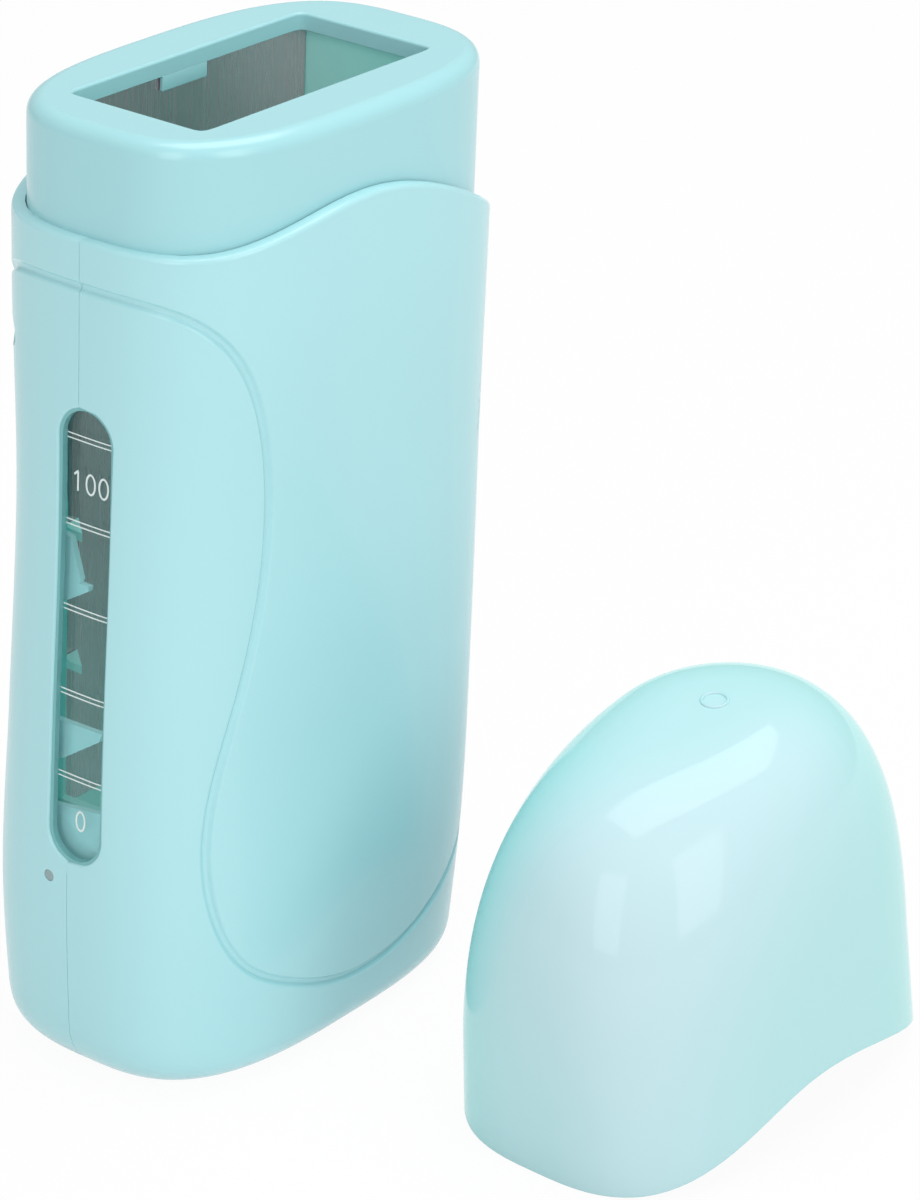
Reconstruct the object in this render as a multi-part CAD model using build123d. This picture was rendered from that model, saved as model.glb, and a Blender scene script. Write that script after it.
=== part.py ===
from build123d import *
from functools import cache
import math
import os

# Roll-on wax heater in millimetres. +Z is up and the origin is the centre of the flat base.
# -Y is the narrow face with the level window, X is the thickness and Y is the depth.

# ---- Case: half thickness (x), front depth (-y) and back depth (+y) at each height
outline_power = 3.0
foot_half, foot_front, foot_back = 24.1, 41.0, 36.9
belly_height, belly_half, belly_front, belly_back = 28.0, 25.8, 42.0, 38.3
middle_height, middle_half, middle_front, middle_back = 58.0, 24.4, 41.3, 40.7
waist_height, waist_half, waist_front, waist_back = 93.0, 23.7, 39.8, 41.4
shoulder_height, shoulder_half, shoulder_front, shoulder_back = 128.0, 25.2, 39.4, 39.9
base_round_side, base_round_front, base_round_back = 6.5, 9.5, 3.0
case_wall = 2.0
line_depth = 0.45
seam_width = 0.3

# ---- Wave-shaped rim of the case, which the lower edge of the cap follows
rim_height = 137.1
rim_hump = 4.2
rim_hump_place = -5.0
rim_hump_start = -37.0
rim_back_drop = 12.3

# ---- Ornamental groove round the case, as points (y, z) of its middle line
groove_width = 1.5
groove_top, groove_side, groove_waist = 130.0, -22.9, 90.0
groove_knee, groove_knee_height = -33.3, 41.0
groove_low, groove_low_place = 11.4, -2.0
groove_back_height = 28.0

# ---- Neck collar with the cartridge mouth
collar_height = 153.4
collar_half, collar_depth = 23.0, 37.6
collar_wall = 2.2
collar_round = 2.6
collar_seat = 121.8
collar_fit = 0.15
seat_thickness, seat_reach = 2.0, 2.2
lip_thickness = 2.8
mouth_width, mouth_length, mouth_shift = 25.2, 53.0, -1.1
tab_length, tab_drop, tab_thickness, tab_shift = 10.2, 2.3, 0.7, -1.6

# ---- Level window and its lens
window_width, window_bottom, window_top, window_shift = 10.3, 38.1, 111.5, 1.2
lens_fit, lens_recess, lens_flange = 0.12, 1.5, 1.1
flange_left, flange_right, flange_margin, flange_corner = -10.5, 8.5, 1.6, 3.0
retainer_left, retainer_right, retainer_thickness, retainer_border = -13.2, 10.4, 1.4, 1.5
part_gap = 0.1

# ---- Cartridge well
well_wall = 1.6
well_front, well_back = -28.1, 28.0
well_right = 13.3
well_floor_height, well_floor = 20.4, 2.0
well_corner = 3.0
well_top_gap = 0.3
well_strip = 3.5
view_left, view_right, view_bottom, view_top = -12.0, 9.0, 40.5, 113.0
clip_heights = (62.0, 84.0)
clip_reach, clip_length, clip_thickness = 4.0, 4.5, 1.4

# ---- Heater plate and what is clamped behind it
plate_front_face, plate_thickness = -13.4, 1.6
plate_bottom, plate_fit = 38.0, 0.2
mica_thickness, electrode_thickness, ptc_thickness = 0.4, 0.3, 2.4
ptc_length, ptc_height, ptc_middle = 35.0, 24.0, 75.0
mica_margin = 1.5
electrode_tab_length, electrode_tab_height = 5.0, 5.0
clamp_width, clamp_thickness, clamp_foot, clamp_gap = 12.0, 0.8, 8.0, 1.2
clamp_screw_radius, clamp_head_radius, clamp_head_height = 1.4, 2.5, 1.6
screw_clearance = 0.05
fuse_height, fuse_radius, fuse_length = 108.0, 1.9, 10.0
sleeve_wall, sleeve_length = 0.4, 15.0
fuse_wire_radius, fuse_wire_length = 0.4, 4.0
lead_radius, pilot_wire_radius = 0.8, 0.5

# ---- Cartridge spring on the wall opposite the plate
spring_width, spring_thickness, spring_bow = 10.0, 0.5, 2.0
spring_bottom, spring_top, spring_foot = 66.0, 122.0, 7.0
spring_peak = 6.0
rivet_radius, rivet_head_radius, rivet_head_height = 1.2, 2.2, 0.8

# ---- Pilot light under the window
pilot_x, pilot_z = -3.6, 34.6
pipe_radius, pipe_fit, pipe_end = 0.9, 0.05, -36.3
board_width, board_thickness, board_bottom, board_top = 16.0, 1.2, 22.0, 37.5
led_radius, led_length, led_flange_radius, led_flange = 1.5, 4.6, 1.75, 0.8
board_screw_radius, board_screw_head, board_head_height = 0.9, 1.7, 1.1
board_screw_spread, board_screw_height = 6.0, 24.4
slot_half = 0.3
resistor_radius, resistor_length, resistor_height = 1.15, 6.5, 29.3
diode_radius, diode_length, diode_height = 0.9, 4.2, 25.4
wire_radius, wire_bend = 0.3, 1.2

# ---- Mains inlet at the foot of the back face
inlet_height = 14.0
inlet_mouth_width, inlet_mouth_height, inlet_wall = 15.9, 8.2, 1.1
inlet_depth, inlet_back_wall, inlet_cavity = 15.0, 2.5, 11.0
inlet_flange_width, inlet_flange_height, inlet_flange, inlet_flange_front = 22.0, 12.6, 1.5, 34.2
inlet_rib_overlap = 1.5
pin_radius, pin_spacing, pin_length, pin_tail = 1.18, 8.6, 9.0, 4.0
pin_shank_radius, pin_tip_chamfer = 1.0, 0.4

# ---- Case screws, from the left side, as places (y, z)
case_screw_places = ((-28.0, 9.2), (9.0, 8.4), (-33.6, 117.4), (34.6, 112.0))
case_screw_radius, case_screw_tip = 1.2, 12.0
case_screw_seat = -6.0
case_head_radius, case_head_height, case_head_fit = 2.2, 1.9, 0.3
cross_half_width, cross_half_length = 0.35, 1.4
boss_radius = 3.7
well_rib_thickness, well_rib_reach = 1.8, 12.0
well_rib_places = (-18.0, 16.0)

# ---- Cap, in its own frame: z = 0 at the front of the rim it sits on
cap_wall = 1.4
cap_half, cap_front, cap_back = 24.7, 39.2, 39.2
cap_skirt, cap_height = 11.5, 58.3
cap_draft = 0.015
cap_front_power, cap_back_power, cap_side_power = 4.5, 2.3, 3.25
cap_apex_shift = 9.3
cap_top_power, cap_power_change = 1.89, 1.2
cap_gap = 0.3
cap_x, cap_y, cap_turn = 71.9, 23.0, -1.6

# ---- Values that follow from the sizes above
far = 300.0
wave_reach = 48.0
rim_top = rim_height + rim_hump
well_x = plate_front_face - plate_thickness
well_left = well_x - well_wall
well_top = collar_height - lip_thickness - well_top_gap
board_front = well_front - well_wall - part_gap - board_thickness


def outline(half, front, back, height, power=outline_power):
    """Superellipse in plan: |x/half|^power + |y/depth|^power = 1, with its own front and back depth."""
    steps = 20
    points = []
    for step in range(steps):
        angle = 2 * math.pi * step / steps
        across = math.copysign(abs(math.cos(angle)) ** (2 / power), math.cos(angle))
        along = math.copysign(abs(math.sin(angle)) ** (2 / power), math.sin(angle))
        depth = back if along > 0 else front
        points.append(Vector(half * across, depth * along, height))
    return Wire([Edge.make_spline(points, periodic=True)])


def block(x0, x1, y0, y1, z0, z1):
    """Box between two corners."""
    return Pos((x0 + x1) / 2, (y0 + y1) / 2, (z0 + z1) / 2) * Box(x1 - x0, y1 - y0, z1 - z0)


def rod(start, end, radius):
    """Straight round rod between two points."""
    start = Vector(*start)
    axis = Vector(*end) - start
    return Solid.make_cylinder(radius, axis.length, Plane(start, z_dir=axis))


def case_station(height):
    """Half thickness, front and back depth of the case at a height, before the base is rounded.

    A cubic through each pair of stations whose slopes come from their neighbours."""
    stations = (
        (0.0, foot_half, foot_front, foot_back),
        (belly_height, belly_half, belly_front, belly_back),
        (middle_height, middle_half, middle_front, middle_back),
        (waist_height, waist_half, waist_front, waist_back),
        (shoulder_height, shoulder_half, shoulder_front, shoulder_back),
    )
    if height >= shoulder_height:
        return stations[-1][1:]
    place = max(index for index in range(len(stations) - 1) if stations[index][0] <= height)
    low, high = stations[place], stations[place + 1]
    before = stations[max(place - 1, 0)]
    after = stations[min(place + 2, len(stations) - 1)]
    span = high[0] - low[0]
    share = (height - low[0]) / span
    sizes = []
    for column in (1, 2, 3):
        slope_low = (high[column] - before[column]) / (high[0] - before[0]) * span
        slope_high = (after[column] - low[column]) / (after[0] - low[0]) * span
        if after is high:
            slope_high = 0.0
        value = (2 * share ** 3 - 3 * share ** 2 + 1) * low[column]
        value += (share ** 3 - 2 * share ** 2 + share) * slope_low
        value += (3 * share ** 2 - 2 * share ** 3) * high[column]
        value += (share ** 3 - share ** 2) * slope_high
        sizes.append(value)
    return tuple(sizes)


def round_loss(rise, radius):
    """How far a quarter-round edge of this radius stands back at a rise above its foot."""
    if radius <= rise:
        return 0.0
    return radius - math.sqrt(radius ** 2 - (radius - rise) ** 2)


@cache
def case_form(inset):
    """Solid inside the outer surface of the case by the inset, up past the rim."""
    tallest = base_round_front - inset
    round_steps, wall_steps = 4, 14
    bends = [math.pi / 2 * step / round_steps for step in range(round_steps)]
    heights = [inset + tallest * (1 - math.cos(bend)) for bend in bends]
    top = rim_top + 2 * case_wall
    for step in range(wall_steps + 1):
        heights.append(base_round_front + (top - base_round_front) * step / wall_steps)
    rings = []
    for height in heights:
        half, front, back = case_station(height)
        rise = height - inset
        rings.append(
            outline(
                half - inset - round_loss(rise, base_round_side - inset),
                front - inset - round_loss(rise, base_round_front - inset),
                back - inset - round_loss(rise, base_round_back - inset),
                height,
            )
        )
    return Solid.make_loft(rings)


def rim_at(y):
    """Height of the wave-shaped rim: a smooth step up to the hump, then a cubic fall to the back."""
    if y <= rim_hump_start:
        return rim_height
    if y <= rim_hump_place:
        share = (y - rim_hump_start) / (rim_hump_place - rim_hump_start)
        return rim_height + rim_hump * share ** 2 * (3 - 2 * share)
    share = (y - rim_hump_place) / (shoulder_back - rim_hump_place)
    return rim_top - (rim_hump + rim_back_drop) * (3 * share ** 2 - share ** 3) / 2


def above_rim(lift, drop=0.0):
    """Everything above the rim raised by the lift, lowered to a frame whose zero is at drop."""
    steps = 16
    places = [-wave_reach + 2 * wave_reach * step / steps for step in range(steps + 1)]
    wave = [Vector(0, y, rim_at(y) + lift - drop) for y in places]
    top = Vector(0, wave_reach, far), Vector(0, -wave_reach, far)
    edges = [
        Edge.make_spline(wave),
        Edge.make_line(wave[-1], top[0]),
        Edge.make_line(top[0], top[1]),
        Edge.make_line(top[1], wave[0]),
    ]
    return Pos(-far / 2, 0, 0) * extrude(Face(Wire(edges)), far, dir=(1, 0, 0))


def groove_ribbon():
    """Prism along X whose section is a ribbon of the groove's width round its middle line."""
    middle = Edge.make_spline([
        Vector(0, -wave_reach, groove_top),
        Vector(0, -shoulder_front, groove_top),
        Vector(0, -31.3, groove_top - 5.6),
        Vector(0, groove_side - 2.2, groove_top - 18.0),
        Vector(0, groove_side, groove_waist),
        Vector(0, groove_side - 4.0, groove_waist - 20.5),
        Vector(0, groove_knee, groove_knee_height),
        Vector(0, groove_knee + 6.2, groove_knee_height - 18.8),
        Vector(0, groove_low_place - 15.0, groove_low + 4.4),
        Vector(0, groove_low_place, groove_low),
        Vector(0, groove_low_place + 23.0, groove_low + 5.6),
        Vector(0, belly_back, groove_back_height),
        Vector(0, wave_reach, groove_back_height + 3.0),
    ])
    steps = 26
    sides = []
    for side in (-0.5, 0.5):
        points = []
        for step in range(steps + 1):
            share = step / steps
            along = middle.tangent_at(share)
            points.append(middle.position_at(share) + Vector(0, -along.Z, along.Y) * groove_width * side)
        sides.append(points)
    edges = [
        Edge.make_spline(sides[0]),
        Edge.make_line(sides[0][-1], sides[1][-1]),
        Edge.make_spline(sides[1]),
        Edge.make_line(sides[1][0], sides[0][0]),
    ]
    return Pos(-far / 2, 0, 0) * extrude(Face(Wire(edges)), far, dir=(1, 0, 0))


def prism(ring, height):
    """Straight solid that rises from a closed outline."""
    return extrude(Face(ring), height, dir=(0, 0, 1))


def window_prism(margin):
    """Stadium-ended prism along Y through the window, grown by a margin."""
    width = window_width + 2 * margin
    height = window_top - window_bottom + 2 * margin
    shape = Plane.XZ * SlotOverall(height, width, rotation=90)
    place = Pos(window_shift, 0, (window_top + window_bottom) / 2)
    return place * extrude(shape, far / 2)


def inlet_outline(margin):
    """Outline of the inlet's mouth, grown by a margin, facing along Y."""
    shape = SlotOverall(inlet_mouth_width + 2 * margin, inlet_mouth_height + 2 * margin)
    return Pos(0, 0, inlet_height) * (Plane.XZ * shape)


def case_with_ribs():
    """Both halves of the case in one: walls, collar seat, screw bosses, well ribs and all openings."""
    lines = groove_ribbon() + block(-seam_width / 2, seam_width / 2, -far, far, -far, far)
    shell = case_form(0.0) - case_form(case_wall) - (lines - case_form(line_depth))
    seat_hole = outline(collar_half - seat_reach, collar_depth - seat_reach, collar_depth - seat_reach, 0)
    inner = block(-far, far, -far, far, collar_seat - seat_thickness, collar_seat) - prism(seat_hole, far)
    for y, z in case_screw_places:
        inner += rod((-far, y, z), (far, y, z), boss_radius)
    for y in well_rib_places:
        for side in (-1, 1):
            x0, x1 = sorted((side * well_rib_reach, side * far))
            inner += block(x0, x1, y, y + well_rib_thickness, 0, well_floor_height)
    for side in (-1, 1):
        x0, x1 = sorted((side * (inlet_flange_width / 2 - inlet_rib_overlap), side * far))
        low = inlet_height - inlet_flange_height / 2
        rib_back = inlet_flange_front - inlet_flange - part_gap
        inner += block(x0, x1, rib_back - well_rib_thickness, rib_back, low, low + inlet_flange_height)
    shell += inner & case_form(case_wall - line_depth)
    pocket = collar_half + collar_fit, collar_depth + collar_fit, collar_depth + collar_fit, collar_seat
    shell -= prism(outline(*pocket), far)
    shell -= above_rim(0.0)
    shell -= window_prism(0.0)
    mouth = inlet_outline(inlet_wall + part_gap)
    shell -= extrude(mouth, -far)
    shell -= rod((pilot_x, -far, pilot_z), (pilot_x, 0, pilot_z), pipe_radius + pipe_fit)
    for y, z in case_screw_places:
        shell -= rod((0, y, z), (case_screw_tip + 1, y, z), case_screw_radius + screw_clearance)
        shell -= rod((case_screw_seat, y, z), (0, y, z), case_screw_radius + case_head_fit)
        shell -= rod((-far, y, z), (case_screw_seat, y, z), case_head_radius + case_head_fit)
    return shell


def neck_collar():
    """Collar with a crowned ring on top, the cartridge mouth and the tab that keeps the plate in."""
    body = prism(outline(collar_half, collar_depth, collar_depth, collar_seat), collar_height - collar_seat)
    body = fillet(body.faces().sort_by(Axis.Z)[-1].edges(), collar_round)
    inside = collar_half - collar_wall, collar_depth - collar_wall, collar_depth - collar_wall, collar_seat
    body -= prism(outline(*inside), collar_height - lip_thickness - collar_seat)
    front = mouth_shift - mouth_length / 2
    body -= block(-mouth_width / 2, mouth_width / 2, front, front + mouth_length, collar_seat, far)
    tab_x = -mouth_width / 2 - tab_thickness
    lip = collar_height - lip_thickness
    half = tab_length / 2
    tab = block(tab_x, -mouth_width / 2, tab_shift - half, tab_shift + half, lip - tab_drop, lip)
    return body + tab


def level_lens():
    """Clear window: a plug in the slot and a flange behind the wall."""
    depth = case_wall + part_gap
    back = case_form(depth + lens_flange)
    plug = window_prism(-lens_fit) & (case_form(lens_recess) - back)
    low, high = window_bottom - flange_margin, window_top + flange_margin
    plate = block(flange_left, flange_right, -far, 0, low, high)
    plate = fillet(plate.edges().filter_by(Axis.Y), flange_corner)
    return plug + (plate & (case_form(depth) - back))


def lens_retainer():
    """Frame that holds the lens flange against the wall."""
    front = case_wall + part_gap + lens_flange + part_gap
    low, high = window_bottom - flange_margin, window_top + flange_margin
    frame = block(retainer_left, retainer_right, -far, 0, low, high)
    hole = block(
        flange_left + retainer_border, flange_right - retainer_border, -far, 0,
        low + retainer_border / 2, high - retainer_border / 2,
    )
    return (frame - hole) & (case_form(front) - case_form(front + retainer_thickness))


def cartridge_well():
    """Upright chamber for the wax cartridge, open at the top and on the heater plate's side."""
    front, back = well_front - well_wall, well_back + well_wall
    right = well_right + well_wall
    body = block(well_left, right, front, back, well_floor_height, well_top)
    body = fillet(body.edges().filter_by(Axis.Z), well_corner)
    body -= block(plate_front_face, well_right, well_front, well_back, well_floor_height + well_floor, far)
    body -= block(well_x, plate_front_face, well_front, well_back, plate_bottom - plate_fit, far)
    strip_low = plate_bottom + well_strip
    body -= block(-far, well_x, well_front + well_strip, well_back - well_strip, strip_low, far)
    body -= block(view_left, view_right, -far, well_front + 1, view_bottom, view_top)
    spring_slot = spring_width / 2 + 1
    body -= block(well_right - 1, far, -spring_slot, spring_slot, spring_bottom + spring_foot, spring_top + 2)
    ducts = block(view_left - well_wall, view_left, -far, well_front, view_bottom, view_top)
    ducts += block(view_right, view_right + well_wall, -far, well_front, view_bottom, view_top)
    duct_inset = case_wall + lens_flange + retainer_thickness + 4 * part_gap
    body += ducts & case_form(duct_inset)
    for z in clip_heights:
        body += plate_clip(z)
    for x in (-board_screw_spread, board_screw_spread):
        start = pilot_x + x, front - 1, board_screw_height
        body -= rod(start, (start[0], well_front + 1, start[2]), board_screw_radius + pipe_fit)
    rivet_z = spring_bottom + spring_foot / 2
    body -= rod((well_right - 1, 0, rivet_z), (right + 1, 0, rivet_z), rivet_radius + screw_clearance)
    return body


def plate_clip(height):
    """Triangular gusset in the well's front corner that hooks over the edge of the plate."""
    x, y = plate_front_face + plate_fit, well_front
    corner = Polyline((x, y), (x + clip_length, y), (x, y + clip_reach), close=True)
    return Pos(0, 0, height) * extrude(make_face(corner), clip_thickness)


def heater_plate():
    """Aluminium plate that warms the cartridge, held between the well's walls."""
    low, high = plate_bottom, well_top
    body = block(well_x, plate_front_face, well_front + plate_fit, well_back - plate_fit, low, high)
    for z in clamp_screw_heights():
        body -= rod((well_x - 1, 0, z), (plate_front_face + 1, 0, z), clamp_screw_radius + screw_clearance)
    return body


def heater_stack():
    """Layers behind the plate in order, as (name, near x, far x, half length, half height)."""
    length, height = ptc_length / 2, ptc_height / 2
    layers = (
        ("mica_front", mica_thickness, mica_margin),
        ("electrode_front", electrode_thickness, 0.0),
        ("ptc_element", ptc_thickness, 0.0),
        ("electrode_back", electrode_thickness, 0.0),
        ("mica_back", mica_thickness, mica_margin),
    )
    near = well_x
    stack = {}
    for name, thickness, margin in layers:
        stack[name] = near, near - thickness, length + margin, height + margin
        near -= thickness
    return stack


def heater_layer(name):
    """One layer of the stack, with a terminal tab if it is an electrode."""
    near, back, length, height = heater_stack()[name]
    body = block(back, near, -length, length, ptc_middle - height, ptc_middle + height)
    if name == "electrode_front":
        low = ptc_middle + height - electrode_tab_height
        body += block(back, near, -length - electrode_tab_length, -length, low, low + electrode_tab_height)
    if name == "electrode_back":
        low = ptc_middle - height
        body += block(back, near, length, length + electrode_tab_length, low, low + electrode_tab_height)
    return body


def clamp_reach():
    """Half height of the clamp's bridge over the stack."""
    return ptc_height / 2 + mica_margin + clamp_gap


def clamp_screw_heights():
    """Heights of the two clamp screws."""
    reach = clamp_reach() + clamp_thickness + clamp_foot / 2
    return ptc_middle - reach, ptc_middle + reach


def ptc_clamp():
    """Sprung strap that bridges the stack and stands on the plate with two feet."""
    top_x = heater_stack()["mica_back"][1]
    reach, wall = clamp_reach(), clamp_thickness
    tall = reach + wall
    body = block(top_x - wall, top_x, -clamp_width / 2, clamp_width / 2, ptc_middle - tall, ptc_middle + tall)
    for side in (-1, 1):
        z0, z1 = sorted((ptc_middle + side * reach, ptc_middle + side * tall))
        body += block(top_x, well_x, -clamp_width / 2, clamp_width / 2, z0, z1)
        z0, z1 = sorted((ptc_middle + side * tall, ptc_middle + side * (tall + clamp_foot)))
        body += block(well_x - wall, well_x, -clamp_width / 2, clamp_width / 2, z0, z1)
    for z in clamp_screw_heights():
        body -= rod((well_x - 2, 0, z), (well_x + 1, 0, z), clamp_screw_radius + screw_clearance)
    return body


def clamp_screws():
    """Two pan-head screws through the clamp's feet into the plate."""
    screws = []
    seat = well_x - clamp_thickness
    for z in clamp_screw_heights():
        screw = rod((seat, 0, z), (plate_front_face - plate_fit, 0, z), clamp_screw_radius)
        head = rod((seat - clamp_head_height, 0, z), (seat, 0, z), clamp_head_radius)
        slot = block(seat - far, seat - clamp_head_height / 2, -far, far, z - slot_half, z + slot_half)
        screws += (screw + head - slot).solids()
    return Compound(screws)


def fuse_x():
    """Middle line of the thermal fuse, whose sleeve lies on the plate."""
    return well_x - fuse_radius - sleeve_wall - 2 * part_gap


def thermal_fuse():
    """Axial fuse with a wire at each end."""
    x, half = fuse_x(), fuse_length / 2
    body = rod((x, -half, fuse_height), (x, half, fuse_height), fuse_radius)
    tip = half + fuse_wire_length
    return body + rod((x, -tip, fuse_height), (x, tip, fuse_height), fuse_wire_radius)


def fuse_sleeve():
    """Insulating sleeve round the fuse."""
    x, half = fuse_x(), sleeve_length / 2
    outer = rod((x, -half, fuse_height), (x, half, fuse_height), fuse_radius + part_gap + sleeve_wall)
    return outer - rod((x, -half - 1, fuse_height), (x, half + 1, fuse_height), fuse_radius + part_gap)


def cartridge_spring():
    """Bowed leaf, riveted at its foot to the well's wall, that presses the cartridge to the plate."""
    foot_top = spring_bottom + spring_foot
    x = well_right
    peak = (foot_top + spring_top) / 2 + spring_peak
    bowed = Spline((x, foot_top), (x - spring_bow, peak), (x, spring_top))
    back = Spline(
        (x - spring_thickness, foot_top),
        (x - spring_bow - spring_thickness, peak),
        (x - spring_thickness, spring_top),
    )
    ends = Line(bowed @ 1, back @ 1), Line(back @ 0, bowed @ 0)
    leaf = Plane.XZ * make_face([bowed, back, *ends])
    leaf = extrude(leaf, spring_width / 2, both=True)
    foot = block(x - spring_thickness, x, -spring_width / 2, spring_width / 2, spring_bottom, foot_top)
    rivet_z = spring_bottom + spring_foot / 2
    return leaf + foot - rod((x - 2, 0, rivet_z), (x + 2, 0, rivet_z), rivet_radius + screw_clearance)


def spring_rivet():
    """Rivet through the spring's foot and the well's wall."""
    z = spring_bottom + spring_foot / 2
    inner, outer = well_right - spring_thickness, well_right + well_wall
    body = rod((inner, 0, z), (outer, 0, z), rivet_radius)
    body += rod((inner - rivet_head_height, 0, z), (inner, 0, z), rivet_head_radius)
    return body + rod((outer, 0, z), (outer + rivet_head_height, 0, z), rivet_head_radius)


def pilot_light_pipe():
    """Short clear rod in the wall of the left shell, flush outside."""
    body = rod((pilot_x, -far, pilot_z), (pilot_x, pipe_end, pilot_z), pipe_radius)
    return body & case_form(part_gap)


def pilot_led():
    """Round lamp on the board, pointing at the light pipe."""
    seat = board_front
    body = rod((pilot_x, seat, pilot_z), (pilot_x, seat - led_flange, pilot_z), led_flange_radius)
    tip = seat - led_length + led_radius
    body += rod((pilot_x, seat, pilot_z), (pilot_x, tip, pilot_z), led_radius)
    return body + Pos(pilot_x, tip, pilot_z) * Sphere(led_radius)


def pilot_board():
    """Small circuit board screwed to the well's front wall."""
    back = board_front + board_thickness
    half = board_width / 2
    body = block(pilot_x - half, pilot_x + half, board_front, back, board_bottom, board_top)
    for x in (-board_screw_spread, board_screw_spread):
        start = pilot_x + x, board_front - 1, board_screw_height
        body -= rod(start, (start[0], back + 1, start[2]), board_screw_radius + pipe_fit)
    for height, length in ((resistor_height, resistor_length), (diode_height, diode_length)):
        for side in (-1, 1):
            x = pilot_x + side * (length / 2 + wire_bend)
            body -= rod((x, board_front - 1, height), (x, back + 1, height), wire_radius + pipe_fit)
    return body


def board_screws():
    """Two small screws that hold the board."""
    screws = []
    for x in (pilot_x - board_screw_spread, pilot_x + board_screw_spread):
        z = board_screw_height
        screw = rod((x, board_front, z), (x, well_front - part_gap, z), board_screw_radius)
        head = rod((x, board_front - board_head_height, z), (x, board_front, z), board_screw_head)
        slot = block(x - slot_half, x + slot_half, -far, board_front - board_head_height / 2, -far, far)
        screws += (screw + head - slot).solids()
    return Compound(screws)


def axial_part(radius, length, height):
    """Component lying along X on the board, with its wires bent into the board."""
    y = board_front - radius - part_gap
    body = rod((pilot_x - length / 2, y, height), (pilot_x + length / 2, y, height), radius)
    for side in (-1, 1):
        x = pilot_x + side * (length / 2 + wire_bend)
        body += rod((pilot_x, y, height), (x, y, height), wire_radius)
        body += rod((x, y, height), (x, board_front + board_thickness, height), wire_radius)
        body += Pos(x, y, height) * Sphere(wire_radius)
    return body


def inlet_front():
    """Depth of the inlet's outer face, a little inside the back face of the case."""
    return case_station(inlet_height)[2] - line_depth


def inlet_housing():
    """Two-lobed mains inlet with a flange that the shells' ribs hold."""
    front = inlet_front()
    body = Pos(0, front, 0) * extrude(inlet_outline(inlet_wall), inlet_depth)
    body -= Pos(0, front + 1, 0) * extrude(inlet_outline(0.0), inlet_cavity + 1)
    low = inlet_height - inlet_flange_height / 2
    flange = block(
        -inlet_flange_width / 2, inlet_flange_width / 2,
        inlet_flange_front - inlet_flange, inlet_flange_front, low, low + inlet_flange_height,
    )
    flange -= Pos(0, far / 2, 0) * extrude(inlet_outline(inlet_wall / 2), far)
    body += flange & case_form(case_wall + 2 * part_gap)
    for x in (-pin_spacing / 2, pin_spacing / 2):
        body -= rod((x, 0, inlet_height), (x, front, inlet_height), pin_shank_radius)
    return body


def inlet_pins():
    """Two round contact pins, each with a thinner shank through the housing and a solder tail."""
    floor = inlet_front() - inlet_cavity
    pins = []
    for x in (-pin_spacing / 2, pin_spacing / 2):
        pin = rod((x, floor, inlet_height), (x, floor + pin_length, inlet_height), pin_radius)
        pin = chamfer(pin.edges().sort_by(Axis.Y)[-1], pin_tip_chamfer)
        pin += rod((x, tail_tip(), inlet_height), (x, floor, inlet_height), pin_shank_radius)
        pins += pin.solids()
    return Compound(pins)


def case_screws():
    """Four screws that join the shells, sunk deep in the left one."""
    screws = []
    for y, z in case_screw_places:
        screw = rod((case_screw_seat, y, z), (case_screw_tip, y, z), case_screw_radius)
        head = rod((case_screw_seat - case_head_height, y, z), (case_screw_seat, y, z), case_head_radius)
        deep = case_screw_seat - case_head_height / 2
        for across, up in ((cross_half_width, cross_half_length), (cross_half_length, cross_half_width)):
            head -= block(-far, deep, y - across, y + across, z - up, z + up)
        screws += (screw + head).solids()
    return Compound(screws)


def wire(points, radius):
    """Insulated wire swept along a smooth line through its points."""
    path = Edge.make_spline([Vector(*point) for point in points])
    start = Plane(path @ 0, z_dir=path % 0)
    return sweep(start * Circle(radius), path=Wire([path]))


def tail_tip():
    """Depth of the solder tails' tips."""
    return inlet_front() - inlet_depth - pin_tail


def lead_live():
    """From the inlet's left tail, up beside the well, to the fuse."""
    x, y = -pin_spacing / 2, tail_tip() - 3 * part_gap
    end_y = fuse_length / 2 + fuse_wire_length + part_gap
    return wire([
        (x, y, inlet_height), (x, y - 1.5, inlet_height), (-5.5, 13.0, 14.6), (-12.0, 7.0, 15.0),
        (-18.7, 6.0, 22.0), (-20.2, 10.0, 40.0), (-20.3, 13.0, 75.0), (-19.9, 13.3, 95.0),
        (-18.7, 13.6, 104.5), (fuse_x(), 12.0, fuse_height),
        (fuse_x(), end_y, fuse_height),
    ], lead_radius)


def lead_fuse():
    """From the fuse to the tab of the front electrode."""
    start_y = -fuse_length / 2 - fuse_wire_length - part_gap
    tab_y = -ptc_length / 2 - mica_margin - lead_radius - part_gap
    tab_top = ptc_middle + ptc_height / 2
    near_x = heater_stack()["electrode_front"][1] - lead_radius / 2
    return wire([
        (fuse_x(), start_y, fuse_height), (fuse_x(), start_y - 3.0, fuse_height - 0.4),
        (-18.4, tab_y + 1.5, 101.0), (-17.6, tab_y, 94.0), (near_x, tab_y, tab_top + 2 * part_gap),
    ], lead_radius)


def lead_neutral():
    """From the inlet's right tail, round the well rib, to the tab of the back electrode."""
    x, y = pin_spacing / 2, tail_tip() - 3 * part_gap
    tab_y = ptc_length / 2 + mica_margin + lead_radius + part_gap
    tab_low = ptc_middle - ptc_height / 2
    near_x = heater_stack()["electrode_back"][1] - lead_radius / 2
    return wire([
        (x, y, inlet_height), (x, y - 1.5, inlet_height), (3.4, 14.6, 15.8), (-2.5, 14.2, 17.8),
        (-8.6, 15.0, 17.6), (-12.6, 19.8, 17.4), (-17.0, 21.0, 18.2), (-19.4, 21.2, 27.0),
        (-19.8, 20.6, 45.0), (-19.5, tab_y, 56.0), (near_x, tab_y, tab_low - 2 * part_gap),
    ], lead_radius)


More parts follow.
